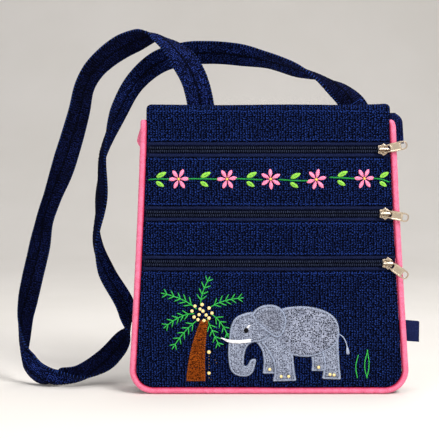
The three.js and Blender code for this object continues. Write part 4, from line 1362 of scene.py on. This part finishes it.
# Palm fronds: where each starts near the crown, its bend and its tip, and its pairs of leaflets
FRONDS = [
    ((-60.5, 71.5), (-70, 79.5), (-86.7, 83.1), 5), ((-56.0, 75.0), (-55.5, 84), (-49.0, 95.5), 4),
    ((-48.0, 72.0), (-38, 78.5), (-22.5, 79.6), 5), ((-63.0, 66.5), (-73, 66.0), (-85.3, 55.5), 5),
    ((-59.5, 60.5), (-69, 54.0), (-78.8, 38.6), 5), ((-46.0, 65.5), (-38.5, 60.0), (-33.7, 48.3), 4),
    ((-50.0, 60.5), (-46.0, 51.0), (-41.1, 40.8), 4),
]
CROWN_BEADS = [
    (-63.1, 68.8), (-60.6, 72.9), (-54.8, 74.2), (-49.1, 71.3), (-54.1, 68.8), (-46.7, 67.2), (-57.3, 65.9),
    (-51.6, 65.6), (-61.4, 63.9), (-49.2, 63.1), (-58.2, 61.8), (-53.3, 61.0), (-56.5, 70.5),
]
TRUNK_FOOT = 10.8
TRUNK_HEIGHT = 50.4


def trunk_at(share):
    """Middle and half width of the palm's trunk at a share of its height."""
    return -60.1 + 7.3 * share**2.1, 7.8 - 4.6 * share**1.35


def make_palm():
    fronds, trunk, edge, rings, nuts, knots = (Pile() for _ in range(6))
    t = np.linspace(0, 1, 60)[:, None]
    for *course, pairs in FRONDS:
        start, bend, tip = np.array(course, float)
        spine = (1 - t) ** 2 * start + 2 * t * (1 - t) * bend + t**2 * tip
        rope(fronds, spine, pitch=2.8, radius=0.5, length=3.8, slant=0.08)
        tangent = unit(np.gradient(spine, axis=0))
        normal = left_of(tangent)
        for k in range(pairs):
            at = int(59 * (0.16 + 0.74 * k / (pairs - 1)))
            size = 6.3 * (1 - 0.22 * k / pairs) * rng.uniform(0.92, 1.08)
            for side in (-1, 1):
                lead = math.radians(44 + rng.uniform(-4, 4))
                way = math.cos(lead) * tangent[at] + side * math.sin(lead) * normal[at]
                leaflet = spine[at] - 0.2 * way, spine[at] + size * way
                stitches(fronds, *leaflet, radius=0.52, bow=0.55, base=-0.1)
    fronds.build("palm_fronds", THREAD["frond"])

    share = np.linspace(0, 1, 30)
    middle, half = trunk_at(share)
    height = TRUNK_FOOT + TRUNK_HEIGHT * share
    outline = np.vstack([np.c_[middle + half, height][::-1], np.c_[middle - half, height]])
    raised = dict(height=0.9, base=0.0, reach=1.0)
    pad(trunk, outline, **raised, dome=0.3)
    trunk.build("palm_trunk_felt", BROWN_FELT)
    edging(edge, outline, **raised, pitch=1.5, slant=0.25, radius=0.34)
    edge.build("palm_trunk_edging", THREAD["brown"])
    for level in (22.0, 33.5, 45.0, 55.0):
        middle, half = trunk_at((level - TRUNK_FOOT) / TRUNK_HEIGHT)
        reach = half - 1.4
        xs = np.arange(middle - reach, middle + reach - 1.0, 2.0)
        starts = join(xs, level + 0.25 * np.sin(xs))
        stitches(rings, starts, starts + [1.4, 0.1], radius=0.2, bow=0.3, base=0.98)
    rings.build("palm_trunk_rings", THREAD["ink"])
    beads(nuts, CROWN_BEADS, radius=1.45)
    beads(nuts, [(-49.3, 35.0), (-49.4, 17.5)], radius=1.5)
    nuts.build("palm_beads", CREAM)
    beads(knots, [(-49.3, z) for z in (31.5, 29, 26.5, 24, 21.5, 13.5)], radius=0.34)
    beads(knots, [(-44.2, 28.3), (-43.2, 25.9), (-47.8, 11.9)], radius=0.3)
    knots.build("palm_gold_knots", THREAD["gold"])


# Felt shapes of the elephant: corners (x, z, radius)
BODY = [
    (6, 71.1, 12), (33, 73.8, 30), (55.2, 65.2, 22), (58.4, 47, 12), (51.5, 37.5, 14), (33, 29.8, 34),
    (12, 34, 16), (2, 44, 14), (2, 59.3, 14),
]
REAR_LEG = [
    (57.0, 50, 8), (56.6, 36, 20), (58.8, 12.2, 1.4), (43.5, 12.8, 1.4), (45.6, 26, 12), (42.4, 36.5, 3),
    (48, 48, 5),
]
FRONT_LEG = [
    (-8.0, 45.0, 4), (-1.5, 37.2, 12), (3.6, 27, 14), (4.6, 18, 6), (2.9, 10.9, 1.4), (22.2, 11.3, 1.4),
    (20.2, 23, 12), (19.4, 36, 6), (14, 48, 8), (0, 54, 6),
]
HEAD = [
    (4, 64.7, 8), (-12, 69.3, 10), (-27.4, 64.9, 9), (-31.6, 56.0, 14), (-32.6, 48, 24), (-34.0, 33, 16),
    (-31.5, 16, 11), (-14.0, 14, 11), (-10.4, 29.6, 2.8), (-15.2, 29.2, 2.4), (-17.6, 23.6, 3.4),
    (-21.0, 23.4, 3.2), (-20.6, 35, 10), (-16.0, 43.4, 6), (-6, 43.6, 6), (4.5, 51.5, 6),
]
EAR = [
    (-14.2, 68.4, 8), (-5.0, 74.4, 10), (7.5, 73.8, 9), (14.8, 64.7, 14), (12.6, 52, 9), (7.6, 46.4, 4),
    (2.0, 48.8, 7), (-13.0, 61.6, 7),
]
INNER_EAR = [
    (-9.0, 65.7, 6), (-2.0, 71.7, 7), (6.5, 70.7, 7), (10.6, 61.6, 9), (8.6, 51.8, 4), (4.0, 51.8, 5),
    (-8.6, 62.5, 5),
]
FAR_FRONT_LEG = [
    (-12, 45, 4), (-5.6, 37.5, 9), (-4.2, 27, 8), (-5.2, 17.3, 1.2), (5.0, 17.1, 1.2), (6, 42, 4),
]
FAR_REAR_LEG = [(34.2, 34.5, 2), (35.6, 25, 5), (34.6, 19.5, 1.2), (46.0, 19.4, 1.2), (47, 36, 2)]
# From the lowest layer up: outline, height and base of each
LAYERS = [
    (FAR_FRONT_LEG, 0.6, 0.0), (FAR_REAR_LEG, 0.6, 0.0), (REAR_LEG, 0.8, 0.1), (BODY, 0.95, 0.15),
    (FRONT_LEG, 0.9, 0.3), (HEAD, 1.05, 0.5), (EAR, 1.0, 1.0), (INNER_EAR, 0.6, 1.75),
]
FELT_ROLL = 1.3
TOENAILS = [(0.3, 20.9), (9.7, 15.0), (15.9, 15.0), (40.5, 22.5), (49.8, 16.5), (53.2, 16.1)]
# Lines over the feet: left, right and height
FEET = [(-4.8, 3.4, 24.6), (4.0, 21.0, 20.0), (35.2, 44.2, 25.0), (45.0, 58.4, 20.6)]


def make_elephant():
    felt_pile, ear_pile, head_pile, edge, shade, trim, eye, tail, nails = (Pile() for _ in range(9))
    for number, (corners, height, base) in enumerate(LAYERS):
        outline = rounded(corners, 9)
        target = ear_pile if corners is INNER_EAR else felt_pile if corners is BODY else head_pile
        pad(target, outline, height, base, FELT_ROLL, dome=0.35 if number > 2 else 0.1)
        over = [closed_steps(rounded(layer[0], 9), 1.5) for layer in LAYERS[number + 1:]]

        def covered(loop):
            """Where a higher layer hides the edge, or the front leg runs into the body."""
            merged = (loop[:, 0] > 3) & (loop[:, 1] > 33.5) & (corners is FRONT_LEG)
            return np.any([inside(loop, [cover]) for cover in over] + [merged], axis=0)

        if corners is not INNER_EAR:
            sewn = dict(pitch=0.95, slant=0.8, radius=0.33, skip=covered)
            edging(edge, outline, height, base, FELT_ROLL, **sewn)
        # Painted shade: a dashed dark line of stitches just inside the rolled edge
        loop = closed_steps(outline, 1.7)
        tangent, normal = inward(loop)
        run = loop + 2.1 * normal
        keep = (border_distance(run, [loop]) > 1.8) & ~covered(run)
        ends = (run + 0.9 * tangent)[keep]
        stitches(shade, run[keep], ends, radius=0.2, bow=0.25, base=base + height + 0.02)
        # Dark ticks of painted shade where the edge meets the cloth or the layer below
        rim = loop - 0.25 * normal
        keep = ~covered(rim)
        ends = (rim + 0.85 * tangent)[keep]
        stitches(shade, rim[keep], ends, radius=0.2, bow=0.3, base=base + 0.12 * height)
    felt_pile.build("elephant_felt", GREY_FELT)
    ear_pile.build("elephant_ear_felt", EAR_FELT)
    head_pile.build("elephant_head_felt", HEAD_FELT)
    edge.build("elephant_edging", THREAD["grey"])

    cheek = smooth_path([(-12, 62), (-8.5, 56.5), (-3.5, 52.0), (2.0, 48.6)], 12)
    dashes(shade, cheek, share=0.7, radius=0.2, bow=0.3, base=1.6)
    brow = smooth_path([(-24, 48.5), (-20, 47.6), (-15, 48.2)], 7)
    dashes(shade, brow, share=0.7, radius=0.2, bow=0.3, base=1.5)
    for left, right, z in FEET:
        xs = np.linspace(left + 1, right - 1, max(4, int((right - left) / 2.2)))
        line = join(xs, z + 0.5 * np.cos((xs - left) / (right - left) * math.pi))
        dashes(shade, line, share=0.6, radius=0.18, bow=0.25, base=1.0)
    shade.build("elephant_shade_stitches", THREAD["shade"])

    t = np.linspace(0, 1, 26)
    for shift, size in ((0.75, 0.62), (-0.1, 0.7), (-0.95, 0.6)):
        tusk = smooth_path([
            (-39.9 + abs(shift), 46.7 + 0.25 * shift), (-34, 44.7 + 0.7 * shift), (-25, 43.9 + 0.95 * shift),
            (-14.8, 45.1 + shift),
        ], 26)
        over = clamp((tusk[:, 0] + 36.5) / 3)
        path = on_front(tusk[:, 0], tusk[:, 1], 0.15 + 1.75 * over - 0.6 * (t > 0.97))
        radii = size * (0.35 + 0.65 * clamp(t * 4)) * np.where(t > 0.97, 0.5, 1)
        tubes(trim, path[None], radii, FRONT, sides=10)
    gleam = np.array([(-18.6, 55.4), (-18.2, 56.1), (-17.8, 56.8)])
    stitches(trim, gleam, gleam + [2.4, 0.7], radius=0.62, bow=0.8, base=1.8)
    trim.build("elephant_tusk", THREAD["white"])

    eye_x, eye_z, eye_radius = -18.9, 53.2, 2.1
    for rise in np.linspace(-1.65, 1.65, 7):
        half = math.sqrt(eye_radius**2 - rise**2)
        ends = [(eye_x + side * half, eye_z + rise) for side in (-1, 1)]
        stitches(eye, *ends, radius=0.46, bow=0.45, base=1.7)
    eye.build("elephant_eye", THREAD["black"])

    course = smooth_path([(57.0, 49.8), (60.6, 47.4), (62.9, 43.0), (63.8, 39.8)], 30)
    rope(tail, course, pitch=1.5, radius=0.46, length=2.6, slant=0.15)
    for shift in (-0.9, -0.3, 0.35, 0.9):
        tip = (64.7 + 1.2 * shift, 32.4 + abs(shift))
        stitches(tail, (63.9 + 0.25 * shift, 39.6), tip, radius=0.5, bow=0.6, base=0.0)
    tail.build("elephant_tail", THREAD["grey"])

    for x, z in TOENAILS:
        bead(nails, x, z, size=1.3, lift=1.25, hollow=0.0)
    nails.build("elephant_toenails", CREAM)


BLADES = [
    [(72.8, 31.0), (71.3, 25.0), (71.3, 20.0), (72.2, 14.8)],
    [(80.6, 35.0), (78.6, 27.0), (78.7, 20.0), (80.2, 14.8)],
    [(80.7, 35.0), (81.9, 27.0), (81.6, 20.0), (80.4, 14.8)],
]


def make_grass():
    pile = Pile()
    for blade in BLADES:
        rope(pile, smooth_path(blade, 40), pitch=2.3, radius=0.45, length=3.6, slant=0.12)
    pile.build("grass_blades", THREAD["frond"])


studio()
make_strap()
make_panels()
make_yoke()
make_gusset()
make_piping("front_piping", -1, 0.0)
make_piping("back_piping", 1, PIPING_SWAY)
for zip_name, zip_row in ZIPS.items():
    zip_half = float(half_width(zip_row["height"]))
    make_tapes(zip_name, zip_row["height"], zip_half)
    make_coil(zip_name, zip_row["height"], zip_half)
    make_slider(zip_name, zip_row)
    make_pull(zip_name, zip_row)
make_topstitching()
make_back_seams()
make_tabs()
make_flower_vine()
make_palm()
make_elephant()
make_grass()
